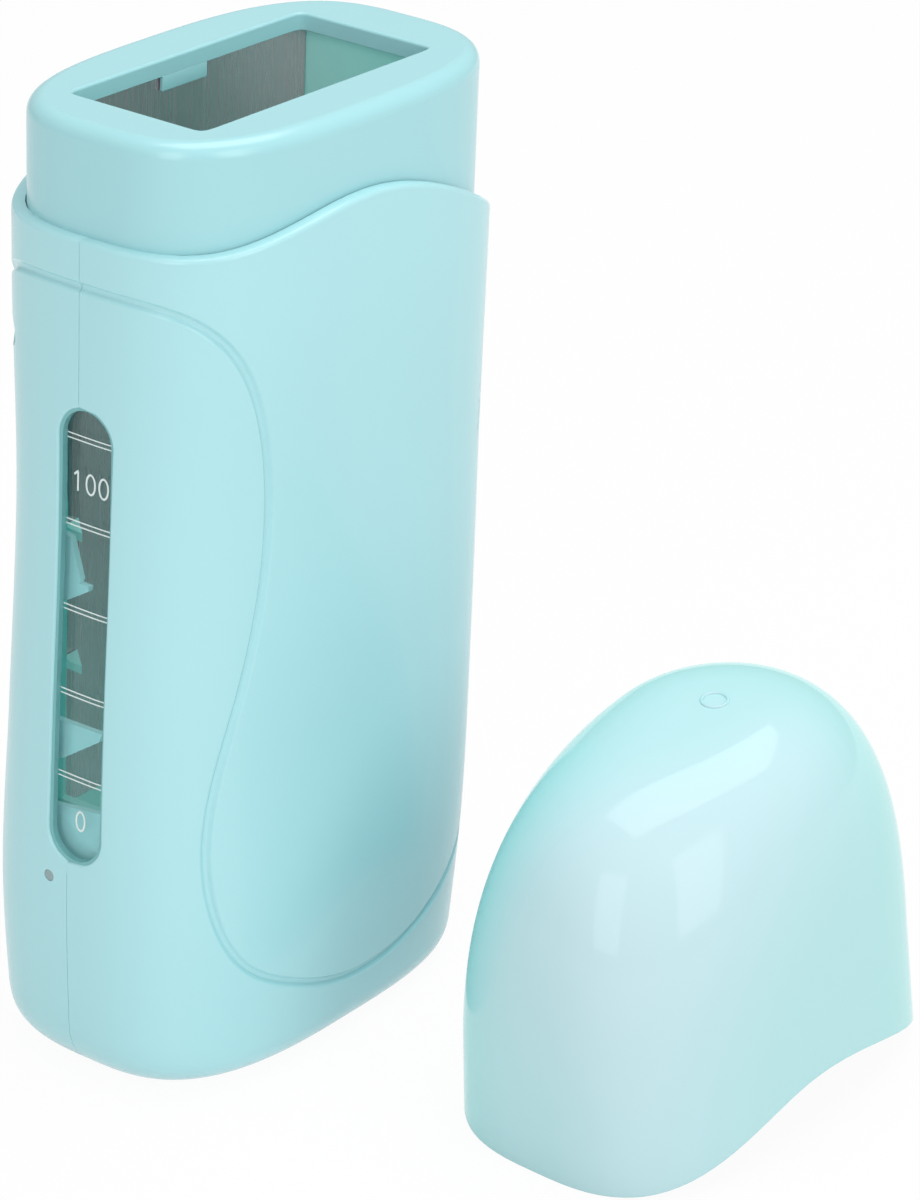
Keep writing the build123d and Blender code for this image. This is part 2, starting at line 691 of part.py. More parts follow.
def pilot_leads():
    """Two thin wires from the lower edge of the pilot board to the inlet's tails."""
    y = board_front + board_thickness / 2
    low = board_bottom - part_gap
    side = pin_shank_radius + pilot_wire_radius + part_gap
    end_y = tail_tip() + pin_tail / 2
    left = wire([
        (-5.0, y, low), (-5.0, y + 0.6, 18.0), (-4.0, -25.0, 15.6), (-1.4, -12.0, 14.4), (-1.0, 2.0, 13.8),
        (-1.6, 14.0, 13.4), (-pin_spacing / 2 + side, end_y, inlet_height),
    ], pilot_wire_radius)
    right = wire([
        (-1.5, y, low), (-1.0, y + 0.6, 18.0), (2.5, -25.0, 15.6), (7.0, -12.0, 14.4), (7.6, 2.0, 13.8),
        (7.2, 14.0, 13.6), (pin_spacing / 2 + side, end_y, inlet_height),
    ], pilot_wire_radius)
    return Compound(left.solids() + right.solids())


def cap_section(level, inset):
    """Outline of the cap at a level of its own frame: a drafted skirt, then a dome by power curves."""
    skirt, top = cap_skirt, cap_height - inset
    half, front, back = cap_half - inset, cap_front - inset, cap_back - inset
    if level <= skirt:
        grow = 1 + cap_draft * (skirt - level) / skirt
        return outline(half * grow, front * grow, back * grow, level)
    share = (level - skirt) / (top - skirt)
    front_now = front * (1 - share ** cap_front_power) ** (1 / cap_front_power)
    back_now = back * (1 - share ** cap_back_power) ** (1 / cap_back_power)
    half_now = half * (1 - share ** cap_side_power) ** (1 / cap_side_power)
    power = outline_power + (cap_top_power - outline_power) * share ** cap_power_change
    ring = outline(half_now, front_now, back_now, level, power)
    return Pos(0, cap_apex_shift * share ** 2, 0) * ring


def cap_rings(inset):
    """Sections of the cap inside its outer surface by the inset, down past its lower edge."""
    low = -2 * rim_back_drop
    top = cap_height - inset
    skirt_steps = 6
    levels = [low + (cap_skirt - low) * step / skirt_steps for step in range(skirt_steps + 1)]
    rings = [cap_section(level, inset) for level in levels]
    for share in (0.14, 0.28, 0.41, 0.53, 0.64, 0.74, 0.82, 0.89, 0.94, 0.975, 0.993, 0.999):
        rings.append(cap_section(cap_skirt + (top - cap_skirt) * share, inset))
    return rings


def cap():
    """Cap as it stands beside the heater, tipped because its lower edge is deeper at the back."""
    outer = Solid.make_loft(cap_rings(0.0))
    inner = Solid.make_loft(cap_rings(cap_wall))
    body = (outer - inner) & above_rim(cap_gap, rim_height)
    tip = math.degrees(math.atan2(rim_back_drop, cap_front + cap_back))
    body = Rot(tip, 0, 0) * body
    body = Pos(cap_x, cap_y, 0) * Rot(0, 0, cap_turn) * body
    steps = 80
    lowest = min(edge.position_at(step / steps).Z for edge in body.edges() for step in range(steps + 1))
    return Pos(0, 0, -lowest) * body


def half_of(case, side):
    """The half of the case on one side of the plane X = 0."""
    x0, x1 = sorted((0, side * far))
    return case & block(x0, x1, -far, far, -far, far)


def build_nodes():
    """Every node by name."""
    case = case_with_ribs()
    nodes = {
        "right_shell": half_of(case, 1),
        "left_shell": half_of(case, -1),
        "neck_collar": neck_collar(),
        "cap": cap(),
        "level_lens": level_lens(),
        "lens_retainer": lens_retainer(),
        "cartridge_well": cartridge_well(),
        "cartridge_spring": cartridge_spring(),
        "spring_rivet": spring_rivet(),
        "heater_plate": heater_plate(),
        "ptc_clamp": ptc_clamp(),
        "clamp_screws": clamp_screws(),
        "thermal_fuse": thermal_fuse(),
        "fuse_sleeve": fuse_sleeve(),
        "pilot_light_pipe": pilot_light_pipe(),
        "pilot_led": pilot_led(),
        "pilot_board": pilot_board(),
        "board_screws": board_screws(),
        "dropping_resistor": axial_part(resistor_radius, resistor_length, resistor_height),
        "rectifier_diode": axial_part(diode_radius, diode_length, diode_height),
        "inlet_housing": inlet_housing(),
        "inlet_pins": inlet_pins(),
        "case_screws": case_screws(),
        "lead_live": lead_live(),
        "lead_neutral": lead_neutral(),
        "lead_fuse": lead_fuse(),
        "pilot_leads": pilot_leads(),
    }
    for layer in heater_stack():
        nodes[layer] = heater_layer(layer)
    return nodes


os.makedirs("parts", exist_ok=True)
for name, shape in build_nodes().items():
    solids = shape.solids()
    export_step(Compound(solids) if len(solids) > 1 else solids[0], f"parts/{name}.step")
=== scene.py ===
import math

import bpy
import numpy as np
from mathutils import Matrix, Vector
from mathutils.kdtree import KDTree


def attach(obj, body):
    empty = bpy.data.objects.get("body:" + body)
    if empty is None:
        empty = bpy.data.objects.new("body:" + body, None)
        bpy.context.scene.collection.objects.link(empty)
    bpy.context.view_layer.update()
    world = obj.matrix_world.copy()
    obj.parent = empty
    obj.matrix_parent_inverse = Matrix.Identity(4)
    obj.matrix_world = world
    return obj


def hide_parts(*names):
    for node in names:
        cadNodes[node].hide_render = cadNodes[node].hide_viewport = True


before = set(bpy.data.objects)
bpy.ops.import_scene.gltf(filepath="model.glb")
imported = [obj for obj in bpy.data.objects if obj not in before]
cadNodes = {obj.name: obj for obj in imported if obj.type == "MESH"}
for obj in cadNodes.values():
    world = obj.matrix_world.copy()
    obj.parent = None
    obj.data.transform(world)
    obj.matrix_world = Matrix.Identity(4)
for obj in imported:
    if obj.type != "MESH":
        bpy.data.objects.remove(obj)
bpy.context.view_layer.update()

mm = 0.001  # shapes are worked out in millimetres and stored in metres
mergeSteps = 2e4  # points that agree to this share of a millimetre become one
tiny = 1e-9  # lengths below this count as none


def unit(vectors):
    # the same directions with length one
    return vectors / np.maximum(np.linalg.norm(vectors, axis=-1, keepdims=True), tiny)


def fullTurn(count):
    # even angles once round, the last one before the first again
    return np.linspace(0, 2 * math.pi, count, endpoint=False)


def placeObject(name, data):
    thing = bpy.data.objects.new(name, data)
    bpy.context.scene.collection.objects.link(thing)
    return thing


def readAll(items, label, width=1, kind=float):
    # one property of a mesh's vertices, corners or faces as an array
    values = np.zeros(len(items) * width, kind)
    items.foreach_get(label, values)
    return values.reshape(-1, width) if width > 1 else values


def meshFrom(name, grids, body, material=None, normals=None, wraps=True):
    # joins grids of points (rows, columns, 3) into one closed mesh: equal points are merged,
    # each cell becomes two triangles, and triangles with no area are left out;
    # material is its name, and a piece given without normals is shaded flat
    points, direction, cells, start = [], [], [], 0
    for index, grid in enumerate(grids):
        rows, columns = grid.shape[:2]
        wrap = wraps[index] if isinstance(wraps, list) else wraps
        across = np.arange(columns if wrap else columns - 1)
        down = np.arange(rows - 1)[:, None] * columns
        a = (down + across).ravel()
        b = (down + (across + 1) % columns).ravel()
        c, d = b + columns, a + columns
        cells.append(np.concatenate([np.stack([a, b, c], 1), np.stack([a, c, d], 1)]) + start)
        points.append(grid.reshape(-1, 3))
        if normals is not None:
            direction.append(normals[index].reshape(-1, 3))
        start += rows * columns
    points = np.concatenate(points)
    keys = np.round(points * mergeSteps).astype(np.int64)
    first, place = np.unique(keys, axis=0, return_index=True, return_inverse=True)[1:]
    place = place.ravel()
    spots = points[first]
    cells = place[np.concatenate(cells)]
    cells = cells[(cells != np.roll(cells, 1, 1)).all(1)]
    pointing = None
    if normals is not None:
        pointing = np.zeros_like(spots)
        np.add.at(pointing, place, np.concatenate(direction))
        pointing = unit(pointing)
        a, b, c = (spots[cells[:, k]] for k in range(3))
        wrong = (np.cross(b - a, c - a) * pointing[cells].sum(1)).sum(1) < 0
        cells[wrong] = cells[wrong][:, ::-1]
    mesh = bpy.data.meshes.new(name)
    mesh.from_pydata((spots * mm).tolist(), [], cells.tolist())
    mesh.polygons.foreach_set("use_smooth", [normals is not None] * len(cells))
    mesh.update()
    piece = placeObject(name, mesh)
    if pointing is None:
        flipIfInside(mesh)
    else:
        mesh.normals_split_custom_set_from_vertices(pointing.tolist())
    if material is not None:
        mesh.materials.append(materials[material])
    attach(piece, body)
    return piece


def flipIfInside(mesh):
    # the signed volume of a closed mesh is negative where its faces point inwards
    spots = readAll(mesh.vertices, "co", 3)
    corners = readAll(mesh.loops, "vertex_index", kind=int).reshape(-1, 3)
    a, b, c = (spots[corners[:, k]] for k in range(3))
    if (a * np.cross(b, c)).sum() < 0:
        mesh.flip_normals()


def smoothLine(knots, count):
    # cubic through the knots with even bend at each one, by chord length
    knots = np.asarray(knots, float)
    gaps = np.linalg.norm(np.diff(knots, axis=0), axis=1)
    along = np.concatenate([[0], np.cumsum(gaps)])
    size = len(knots)
    matrix = np.eye(size)
    right = np.zeros_like(knots)
    for i in range(1, size - 1):
        matrix[i, i - 1:i + 2] = gaps[i - 1], 2 * (gaps[i - 1] + gaps[i]), gaps[i]
        right[i] = 6 * ((knots[i + 1] - knots[i]) / gaps[i] - (knots[i] - knots[i - 1]) / gaps[i - 1])
    bend = np.linalg.solve(matrix, right)
    where = np.linspace(0, along[-1], count)
    i = np.clip(np.searchsorted(along, where, side="right") - 1, 0, size - 2)
    gap = gaps[i][:, None]
    low, high = (where - along[i])[:, None], (along[i + 1] - where)[:, None]
    line = (bend[i] * high ** 3 + bend[i + 1] * low ** 3) / (6 * gap)
    line += (knots[i] / gap - bend[i] * gap / 6) * high
    line += (knots[i + 1] / gap - bend[i + 1] * gap / 6) * low
    return line


def evenly(line, count, measured=None):
    # the same line with points at equal steps of its length, which is measured over its first columns
    along = np.concatenate([[0], np.cumsum(np.linalg.norm(np.diff(line[:, :measured], axis=0), axis=1))])
    where = np.linspace(0, along[-1], count)
    return np.stack([np.interp(where, along, column) for column in line.T], 1)


def ring(half, front, back, height, turn, power):
    # superellipse |x/half|^power + |y/depth|^power = 1, from the front round by +X
    s, c = np.sin(turn), np.cos(turn)
    size = (np.abs(s) ** power + np.abs(c) ** power) ** (-1 / power)
    depth = np.where(c > 0, front, back)
    return np.stack(np.broadcast_arrays(half * s * size, -depth * c * size, height), -1)


grain = {}  # surface groups built so far, by family
rimTint = dict(blend=0.5, power=1.6)  # how a rim colour comes in as the surface turns away


def addNode(tree, kind, **values):
    node = tree.nodes.new(kind)
    for label, value in values.items():
        setattr(node, label, value)
    return node


def plug(tree, value, socket):
    # an output is linked to the input, and any other value is written into it
    if isinstance(value, bpy.types.NodeSocket):
        tree.links.new(value, socket)
    else:
        socket.default_value = value


def feed(tree, node, **values):
    # the inputs of a node by name, with _ for a space
    for label, value in values.items():
        plug(tree, value, node.inputs[label.replace("_", " ")])
    return node


def mathNode(tree, operation, *values, clamp=False):
    node = addNode(tree, "ShaderNodeMath", operation=operation, use_clamp=clamp)
    for value, socket in zip(values, node.inputs):
        plug(tree, value, socket)
    return node.outputs[0]


def noiseNode(tree, vector, scale, detail=2.0, roughness=0.5, stretch=None):
    if stretch is not None:
        mapping = feed(tree, addNode(tree, "ShaderNodeMapping"), Scale=stretch, Vector=vector)
        vector = mapping.outputs[0]
    noise = addNode(tree, "ShaderNodeTexNoise")
    feed(tree, noise, Vector=vector, Scale=scale, Detail=detail, Roughness=roughness)
    return noise.outputs["Fac"]


def swingNode(tree, mask, amount, base, clamp=False):
    # base + amount * (mask - one half)
    return mathNode(tree, "MULTIPLY_ADD", mathNode(tree, "SUBTRACT", mask, 0.5), amount, base, clamp=clamp)


def tintNode(tree, colour, amount, mask):
    # brightens or darkens a colour by the mask's distance from one half
    shift = swingNode(tree, mask, amount, 1.0)
    node = addNode(tree, "ShaderNodeVectorMath", operation="SCALE")
    plug(tree, colour, node.inputs[0])
    return feed(tree, node, Scale=shift).outputs[0]


def surfaceGroup(name, roughness, **others):
    # group with a colour, a roughness and named values as inputs; a colour, a roughness and a height come out
    group = bpy.data.node_groups.new(name, "ShaderNodeTree")
    inputs = [("Colour", "Color", (0.8, 0.8, 0.8, 1)), ("Roughness", "Float", roughness)]
    for label, kind, value in [*inputs, *((label, "Float", value) for label, value in others.items())]:
        socket = group.interface.new_socket(name=label, in_out="INPUT", socket_type="NodeSocket" + kind)
        socket.default_value = value
    for label, kind in (("Colour", "Color"), ("Roughness", "Float"), ("Height", "Float")):
        group.interface.new_socket(name=label, in_out="OUTPUT", socket_type="NodeSocket" + kind)
    source, result = addNode(group, "NodeGroupInput"), addNode(group, "NodeGroupOutput")
    place = addNode(group, "ShaderNodeTexCoord").outputs["Object"]
    return group, source.outputs, result, place


def mouldedGroup():
    # injection moulding: broad flow tint, faint orange peel, fine handling marks in the gloss
    group, source, result, place = surfaceGroup("mouldedSurface", 0.2, Tint=0.04, Peel=900.0, Marks=0.05)
    flow = noiseNode(group, place, scale=18.0, stretch=(1.0, 1.0, 0.35))
    colour = tintNode(group, source["Colour"], source["Tint"], flow)
    marks = noiseNode(group, place, scale=420.0, detail=4.0, roughness=0.7, stretch=(1.0, 0.35, 1.0))
    rough = swingNode(group, marks, source["Marks"], source["Roughness"], clamp=True)
    peel = noiseNode(group, place, source["Peel"], detail=1.0, roughness=0.4)
    feed(group, result, Colour=colour, Roughness=rough, Height=peel)
    return group


def brushedGroup():
    # fine streaks along Z and a few single scratches
    group, source, result, place = surfaceGroup("brushedSurface", 0.25, Tint=0.25, Streaks=2500.0,
                                                Scratches=0.4)
    streaks = noiseNode(group, place, source["Streaks"], detail=3.0, roughness=0.65,
                        stretch=(1.0, 1.0, 0.012))
    single = noiseNode(group, place, scale=900.0, detail=1.0, stretch=(1.0, 1.0, 0.03))
    scratch = mathNode(group, "GREATER_THAN", single, 0.74)  # only the strongest are scratches
    scratch = mathNode(group, "MULTIPLY", scratch, source["Scratches"])
    tint = tintNode(group, source["Colour"], source["Tint"], streaks)
    colour = tintNode(group, tint, 1.0, mathNode(group, "ADD", scratch, 0.5))
    rough = swingNode(group, streaks, amount=0.3, base=source["Roughness"], clamp=True)
    height = mathNode(group, "SUBTRACT", streaks, scratch)
    feed(group, result, Colour=colour, Roughness=rough, Height=height)
    return group


def speckGroup():
    # small grains, as in fired ceramic, pressed mica, laminate and braid
    group, source, result, place = surfaceGroup("speckledSurface", 0.6, Tint=0.3, Grain=1500.0)
    cells = feed(group, addNode(group, "ShaderNodeTexVoronoi"), Vector=place, Scale=source["Grain"])
    # grains and broad patches, mixed six to four
    broad = noiseNode(group, place, scale=260.0, detail=3.0, roughness=0.6)
    broad = mathNode(group, "MULTIPLY", broad, 0.4)
    mask = mathNode(group, "MULTIPLY_ADD", cells.outputs["Distance"], 0.6, broad)
    colour = tintNode(group, source["Colour"], source["Tint"], mask)
    rough = swingNode(group, mask, amount=0.2, base=source["Roughness"], clamp=True)
    feed(group, result, Colour=colour, Roughness=rough, Height=mask)
    return group


def finish(name, family, colour, roughness, bump, rimColour=None, **values):
    # one material: a Principled shader fed by a surface group; a value goes to the group where that has
    # an input of its name, else to the shader, and rimColour is the tint where the surface turns away
    material = bpy.data.materials.new(name)
    material.use_nodes = True
    tree = material.node_tree
    if family not in grain:
        grain[family] = {"moulded": mouldedGroup, "brushed": brushedGroup, "speckled": speckGroup}[family]()
    group = addNode(tree, "ShaderNodeGroup", node_tree=grain[family])
    shader = tree.nodes["Principled BSDF"]
    feed(tree, group, Colour=(*colour, 1), Roughness=roughness)
    for label, value in values.items():
        feed(tree, group if label in group.inputs else shader, **{label: value})
    tint = group.outputs["Colour"]
    if rimColour is not None:
        turned = feed(tree, addNode(tree, "ShaderNodeLayerWeight"), Blend=rimTint["blend"])
        blend = addNode(tree, "ShaderNodeMix", data_type="RGBA")
        turning = mathNode(tree, "POWER", turned.outputs["Facing"], rimTint["power"])
        # sockets 6 and 7 in and 2 out are this node's colours
        for index, value in ((0, turning), (6, tint), (7, (*rimColour, 1))):
            plug(tree, value, blend.inputs[index])
        tint = blend.outputs[2]
    height = addNode(tree, "ShaderNodeBump")
    feed(tree, height, Strength=bump, Distance=bumpDepth[family], Height=group.outputs["Height"])
    feed(tree, shader, Base_Color=tint, Roughness=group.outputs["Roughness"], Normal=height.outputs[0])
    return material


bumpDepth = dict(moulded=0.00005, brushed=0.00002, speckled=0.00005)  # metres
finishes = dict(
    # family, colour, roughness, strength of the bump, CAD nodes with this finish, and what else it sets
    casePlastic=("moulded", (0.43, 0.76, 0.80), 0.22, 0.05, [], {}),
    # painted light: the retainer and well glow faintly in teal, standing in for light that comes through the
    # translucent case
    innerPlasticPaintedLight=("moulded", (0.42, 0.84, 0.80), 0.34, 0.1, ["lens_retainer", "cartridge_well"],
                  dict(Emission_Color=(0.24, 0.75, 0.68, 1), Emission_Strength=0.07)),
    blackPlastic=("moulded", (0.02, 0.02, 0.022), 0.42, 0.2, ["rectifier_diode", "inlet_housing"], {}),
    plateMetal=("brushed", (0.98, 0.57, 0.60), 0.26, 0.1, ["heater_plate"], dict(Tint=0.15)),
    springMetal=("brushed", (0.58, 0.58, 0.59), 0.28, 0.15, ["cartridge_spring", "spring_rivet", "ptc_clamp"],
                 dict(Scratches=0.15)),
    screwMetal=("brushed", (0.52, 0.53, 0.55), 0.33, 0.1, ["clamp_screws", "board_screws", "case_screws"],
                dict(Scratches=0.2, Streaks=900.0)),
    pinMetal=("brushed", (0.70, 0.66, 0.54), 0.25, 0.1, ["inlet_pins"], dict(Scratches=0.2)),
    tinMetal=("brushed", (0.66, 0.65, 0.62), 0.35, 0.1, ["thermal_fuse", "electrode_front", "electrode_back"],
              dict(Scratches=0.1)),
    micaSheet=("speckled", (0.60, 0.54, 0.42), 0.55, 0.3, ["mica_front", "mica_back"], {}),
    ptcCeramic=("speckled", (0.10, 0.095, 0.09), 0.65, 0.3, ["ptc_element"], {}),
    boardLaminate=("speckled", (0.55, 0.38, 0.16), 0.5, 0.1, ["pilot_board"], {}),
    braidedGlass=("speckled", (0.72, 0.69, 0.58), 0.8, 0.6, ["fuse_sleeve"], dict(Grain=2200.0)),
    resistorCoat=("speckled", (0.60, 0.46, 0.26), 0.35, 0.05, ["dropping_resistor"], {}),
    wireBrown=("moulded", (0.16, 0.07, 0.035), 0.45, 0.1, ["lead_live", "lead_fuse"], {}),
    wireBlue=("moulded", (0.04, 0.12, 0.42), 0.45, 0.1, ["lead_neutral"], {}),
    wireWhite=("moulded", (0.78, 0.78, 0.75), 0.45, 0.1, ["pilot_leads"], {}),
    lampRed=("moulded", (0.55, 0.04, 0.03), 0.12, 0.03, ["pilot_led"], dict(Transmission_Weight=0.4)),
    capPlastic=("moulded", (0.53, 0.725, 0.77), 0.08, 0.02, [],
                dict(rimColour=(0.36, 0.83, 0.80), Specular_IOR_Level=0.22)),
    collarPlastic=("moulded", (0.38, 0.705, 0.745), 0.22, 0.05, [], {}),
    frostedPipe=("moulded", (0.30, 0.40, 0.41), 0.4, 0.05, ["pilot_light_pipe"], {}),
    clearPlastic=("moulded", (0.70, 0.95, 0.96), 0.03, 0.01, ["level_lens"],
                  dict(Tint=0.0, Transmission_Weight=1.0, IOR=1.49)),
    bezelPlastic=("moulded", (0.19, 0.48, 0.49), 0.10, 0.02, [], {}),
    # painted light: the webs glow, standing in for light that reaches them through the lens
    webPlasticPaintedLight=("moulded", (0.46, 0.70, 0.72), 0.30, 0.05, [],
                dict(Emission_Color=(0.50, 0.76, 0.76, 1), Emission_Strength=0.16)),
    markWhite=("moulded", (0.78, 0.88, 0.86), 0.5, 0.02, [], {}))
materials = {}
for name, (family, colour, roughness, bump, nodeNames, values) in finishes.items():
    if family == "brushed":
        values["Metallic"] = 1.0
    materials[name] = finish(name, family, colour, roughness, bump, **values)
    for nodeName in nodeNames:
        slots = cadNodes[nodeName].data.materials
        slots.clear()
        slots.append(materials[name])
print("materials built")


def makeCamera():
    # the camera looks at the heater from its front right, a little above
    view = dict(turn=36.183, rise=24.871, roll=2.380, place=(394.94, -484.35, 357.98),
                lens=133.354, sensor=36.0, near=0.01, far=20.0)
    turn, rise, roll = (math.radians(view[key]) for key in ("turn", "rise", "roll"))
    back = Vector((math.sin(turn) * math.cos(rise), -math.cos(turn) * math.cos(rise), math.sin(rise)))
    level = Vector((math.cos(turn), math.sin(turn), 0))
    upright = back.cross(level)
    across = level * math.cos(roll) + upright * math.sin(roll)
    over = -level * math.sin(roll) + upright * math.cos(roll)
    data = bpy.data.cameras.new("mainCamera")
    data.lens, data.sensor_width = view["lens"], view["sensor"]
    data.clip_start, data.clip_end = view["near"], view["far"]
    camera = placeObject("mainCamera", data)
    turned = Matrix((across, over, back)).transposed().to_4x4()
    camera.matrix_world = Matrix.Translation(Vector(view["place"]) * mm) @ turned
    bpy.context.scene.camera = camera


def areaLight(name, place, aim, size, power):
    data = bpy.data.lights.new(name, "AREA")
    data.shape, data.size, data.size_y = "RECTANGLE", size[0], size[1]
    data.energy = power
    lamp = placeObject(name, data)
    lamp.location = place
    lamp.rotation_euler = (Vector(aim) - Vector(place)).to_track_quat("-Z", "Y").to_euler()


def seenMask(tree, *rays):
    # one for camera rays and the other rays named, zero for all the rest
    path = addNode(tree, "ShaderNodeLightPath")
    looks = path.outputs["Is Camera Ray"]
    for ray in rays:
        looks = mathNode(tree, "MAXIMUM", looks, path.outputs[ray])
    return looks


def whiteShader(material, seen, lit, keep):
    # white for the camera, mirrors and clear parts, and a plain pale matte for light;
    # keep is the share of the shadow that is seen
    tree = material.node_tree
    tree.nodes.clear()
    looks = seenMask(tree, "Is Glossy Ray", "Is Transmission Ray")
    shader = feed(tree, addNode(tree, "ShaderNodeBsdfDiffuse"), Color=(lit, lit, lit, 1))
    glow = feed(tree, addNode(tree, "ShaderNodeEmission"), Strength=seen)
    mix = addNode(tree, "ShaderNodeMixShader")
    share = mathNode(tree, "MULTIPLY", looks, 1 - keep)
    for value, socket in zip((share, shader.outputs[0], glow.outputs[0]), mix.inputs):
        plug(tree, value, socket)
    feed(tree, addNode(tree, "ShaderNodeOutputMaterial"), Surface=mix.outputs[0])


def makeStage():
    stage = dict(
        floorSize=3.0, seen=1.0, lit=0.85, keep=0.05, world=0.50, aim=(0.06, 0.0, 0.06), away=1.1,
        # panels as name, direction from the object, width and height in metres, power
        panels=[("topPanel", (0.04, 0.16, 0.98), (0.70, 1.0), 7.2),
                ("frontPanel", (0.32, -0.86, 0.42), (0.46, 0.8), 2.7),
                ("sidePanel", (0.9, -0.08, 0.44), (0.42, 0.8), 2.6)])
    material = bpy.data.materials.new("paleFloor")
    material.use_nodes = True
    whiteShader(material, stage["seen"], stage["lit"], stage["keep"])
    half = stage["floorSize"] / 2
    corners = [(-half, -half, 0), (half, -half, 0), (half, half, 0), (-half, half, 0)]
    mesh = bpy.data.meshes.new("studioFloor")
    mesh.from_pydata(corners, [], [(0, 1, 2, 3)])
    mesh.materials.append(material)
    floor = placeObject("studioFloor", mesh)
    world = bpy.data.worlds.new("studio")
    bpy.context.scene.world = world
    world.use_nodes = True
    tree = world.node_tree
    looks = seenMask(tree, "Is Transmission Ray")
    strength = mathNode(tree, "MULTIPLY_ADD", looks, 1 - stage["world"], stage["world"])
    feed(tree, tree.nodes["Background"], Strength=strength, Color=(1, 1, 1, 1))
    for name, toward, size, power in stage["panels"]:
        place = Vector(stage["aim"]) + Vector(toward).normalized() * stage["away"]
        areaLight(name, place, stage["aim"], size, power)
    bpy.context.scene.view_settings.view_transform = "Standard"


makeCamera()
makeStage()
print("camera and stage ready")

case = dict(
    power=3.0,
    # height, half thickness, front depth, back depth
    stations=[(0, 24.1, 41.0, 36.9), (28, 25.8, 42.0, 38.3), (58, 24.4, 41.3, 40.7), (93, 23.7, 39.8, 41.4),
              (128, 25.2, 39.4, 39.9)],
    roundSide=6.5, roundFront=9.5, roundBack=3.0, wall=2.0,
    rimHeight=137.1, rimHump=4.2, humpPlace=-5.0, humpStart=-37.0, backDrop=12.3, fallPast=1.2, rimRound=0.8,
    seamHalf=0.03, seamRound=0.08, seamDepth=0.25, seamLip=0.05,
    # middle line of the groove seen from the side, as (y, z)
    groove=[(-48, 130), (-39.4, 130), (-31.3, 124.4), (-25.1, 112), (-22.9, 90), (-26.9, 69.5), (-33.3, 41),
            (-27.1, 22.2), (-17, 15.8), (-2, 11.4), (21, 17), (38.3, 28), (48, 31)],
    grooveDepth=0.62, grooveReach=1.0, grooveFlat=0.2, ribbonReach=1.15,
    windowCentre=1.2, windowHalf=5.15, windowLow=38.1, windowHigh=111.5, windowRound=0.35,
    inletCentre=14.0, inletHalf=9.15, inletRise=5.3, inletRound=0.3,
    columns=340, ribbonRows=24, frontRows=40, backRows=46, floorRows=12, bendRows=7,
    # where the boundary turns, as shares of the columns: below the groove the two ends of window, foot
    # and inlet, above it those of the rim
    lowCorners=[0, 0.10, 0.52, 0.60, 0.83, 0.86, 0.965, 1], highCorners=[0, 0.03, 0.56, 1],
    # columns that end under the inlet dip below it on their way; place and width are shares of the columns
    dip=7.0, dipAt=0.85, dipWidth=0.035,
    # points on each line before it is drawn again evenly
    grooveFine=6000, ribbonFine=4000, slotFine=400, lobeFine=200, seamFine=60, footFine=500, rimFine=700,
    rimPasses=4)
skirt = case["roundFront"]


def caseSizes(height):
    # cubic between stations, with the slope at each from its neighbours and level at the top
    table = np.array(case["stations"], float)
    at, table = table[:, 0], table[:, 1:]
    slope = np.zeros_like(table)
    slope[1:-1] = (table[2:] - table[:-2]) / (at[2:] - at[:-2])[:, None]
    slope[0] = (table[1] - table[0]) / (at[1] - at[0])
    height = np.clip(height, at[0], at[-1])
    i = np.clip(np.searchsorted(at, height, side="right") - 1, 0, len(at) - 2)
    span = (at[i + 1] - at[i])[..., None]
    t = (height - at[i])[..., None] / span
    value = (2 * t ** 3 - 3 * t ** 2 + 1) * table[i] + (t ** 3 - 2 * t ** 2 + t) * span * slope[i]
    value += (3 * t ** 2 - 2 * t ** 3) * table[i + 1] + (t ** 3 - t ** 2) * span * slope[i + 1]
    return value


def rounding(rise, radius):
    # how far a quarter-round foot of this radius stands back at a rise above the floor
    left = radius - np.clip(rise, 0, radius)
    return radius - np.sqrt(radius ** 2 - left ** 2)


def riseOf(level):
    # height from the level parameter, which has close steps near the floor
    return np.where(level < skirt, (level + skirt) ** 2 / (4 * skirt), level)


def levelOf(height):
    # the other way round
    return np.where(height < skirt, 2 * np.sqrt(skirt * np.maximum(height, 0)) - skirt, height)


def outerSizes(height):
    # half thickness, front depth and back depth of the outside, with the rounds of the foot
    sizes = caseSizes(height)
    radii = case["roundSide"], case["roundFront"], case["roundBack"]
    return tuple(sizes[..., k] - rounding(height, radius) for k, radius in enumerate(radii))


def restOf(share, power=case["power"]):
    # the other coordinate of a superellipse of size one: (1 - share^power)^(1/power)
    return (1 - share ** power) ** (1 / power)


def caseSkin(turn, level, side):
    # point of the case: a superellipse at that height, turn runs from the front seam to the back seam
    height = riseOf(level)
    spot = ring(*outerSizes(height), height, turn, case["power"])
    spot[..., 0] *= side
    return spot


def skinFrame(turn, level, side, step=1e-3):
    # point, slopes and outward normal of the case
    low = np.maximum(level - step, -skirt)
    alongTurn = (caseSkin(turn + step, level, side) - caseSkin(turn - step, level, side)) / (2 * step)
    alongLevel = caseSkin(turn, level + step, side) - caseSkin(turn, low, side)
    alongLevel /= (level + step - low)[..., None]
    return caseSkin(turn, level, side), alongTurn, alongLevel, unit(np.cross(alongTurn, alongLevel) * side)


def turnAtX(across, height, front=True):
    # turn at which the case is that far from the middle plane
    share = np.clip(across / outerSizes(height)[0], 0, 1)
    turn = np.arctan2(share, restOf(share))
    return turn if front else math.pi - turn


def turnAtY(depth, height):
    half, front, back = outerSizes(height)
    share = np.clip(-depth / np.where(depth < 0, front, back), -1, 1)
    return np.arctan2(restOf(np.abs(share)), share)


def rimAt(depth):
    # height of the wave-shaped rim: a smooth step up to the hump, then a cubic fall to the back
    rise = np.clip((depth - case["humpStart"]) / (case["humpPlace"] - case["humpStart"]), 0, 1)
    fall = (depth - case["humpPlace"]) / (case["stations"][-1][3] - case["humpPlace"])
    fall = np.clip(fall, 0, case["fallPast"])
    top = case["rimHeight"] + case["rimHump"] * rise ** 2 * (3 - 2 * rise)
    return top - (case["rimHump"] + case["backDrop"]) * (3 * fall ** 2 - fall ** 3) / 2


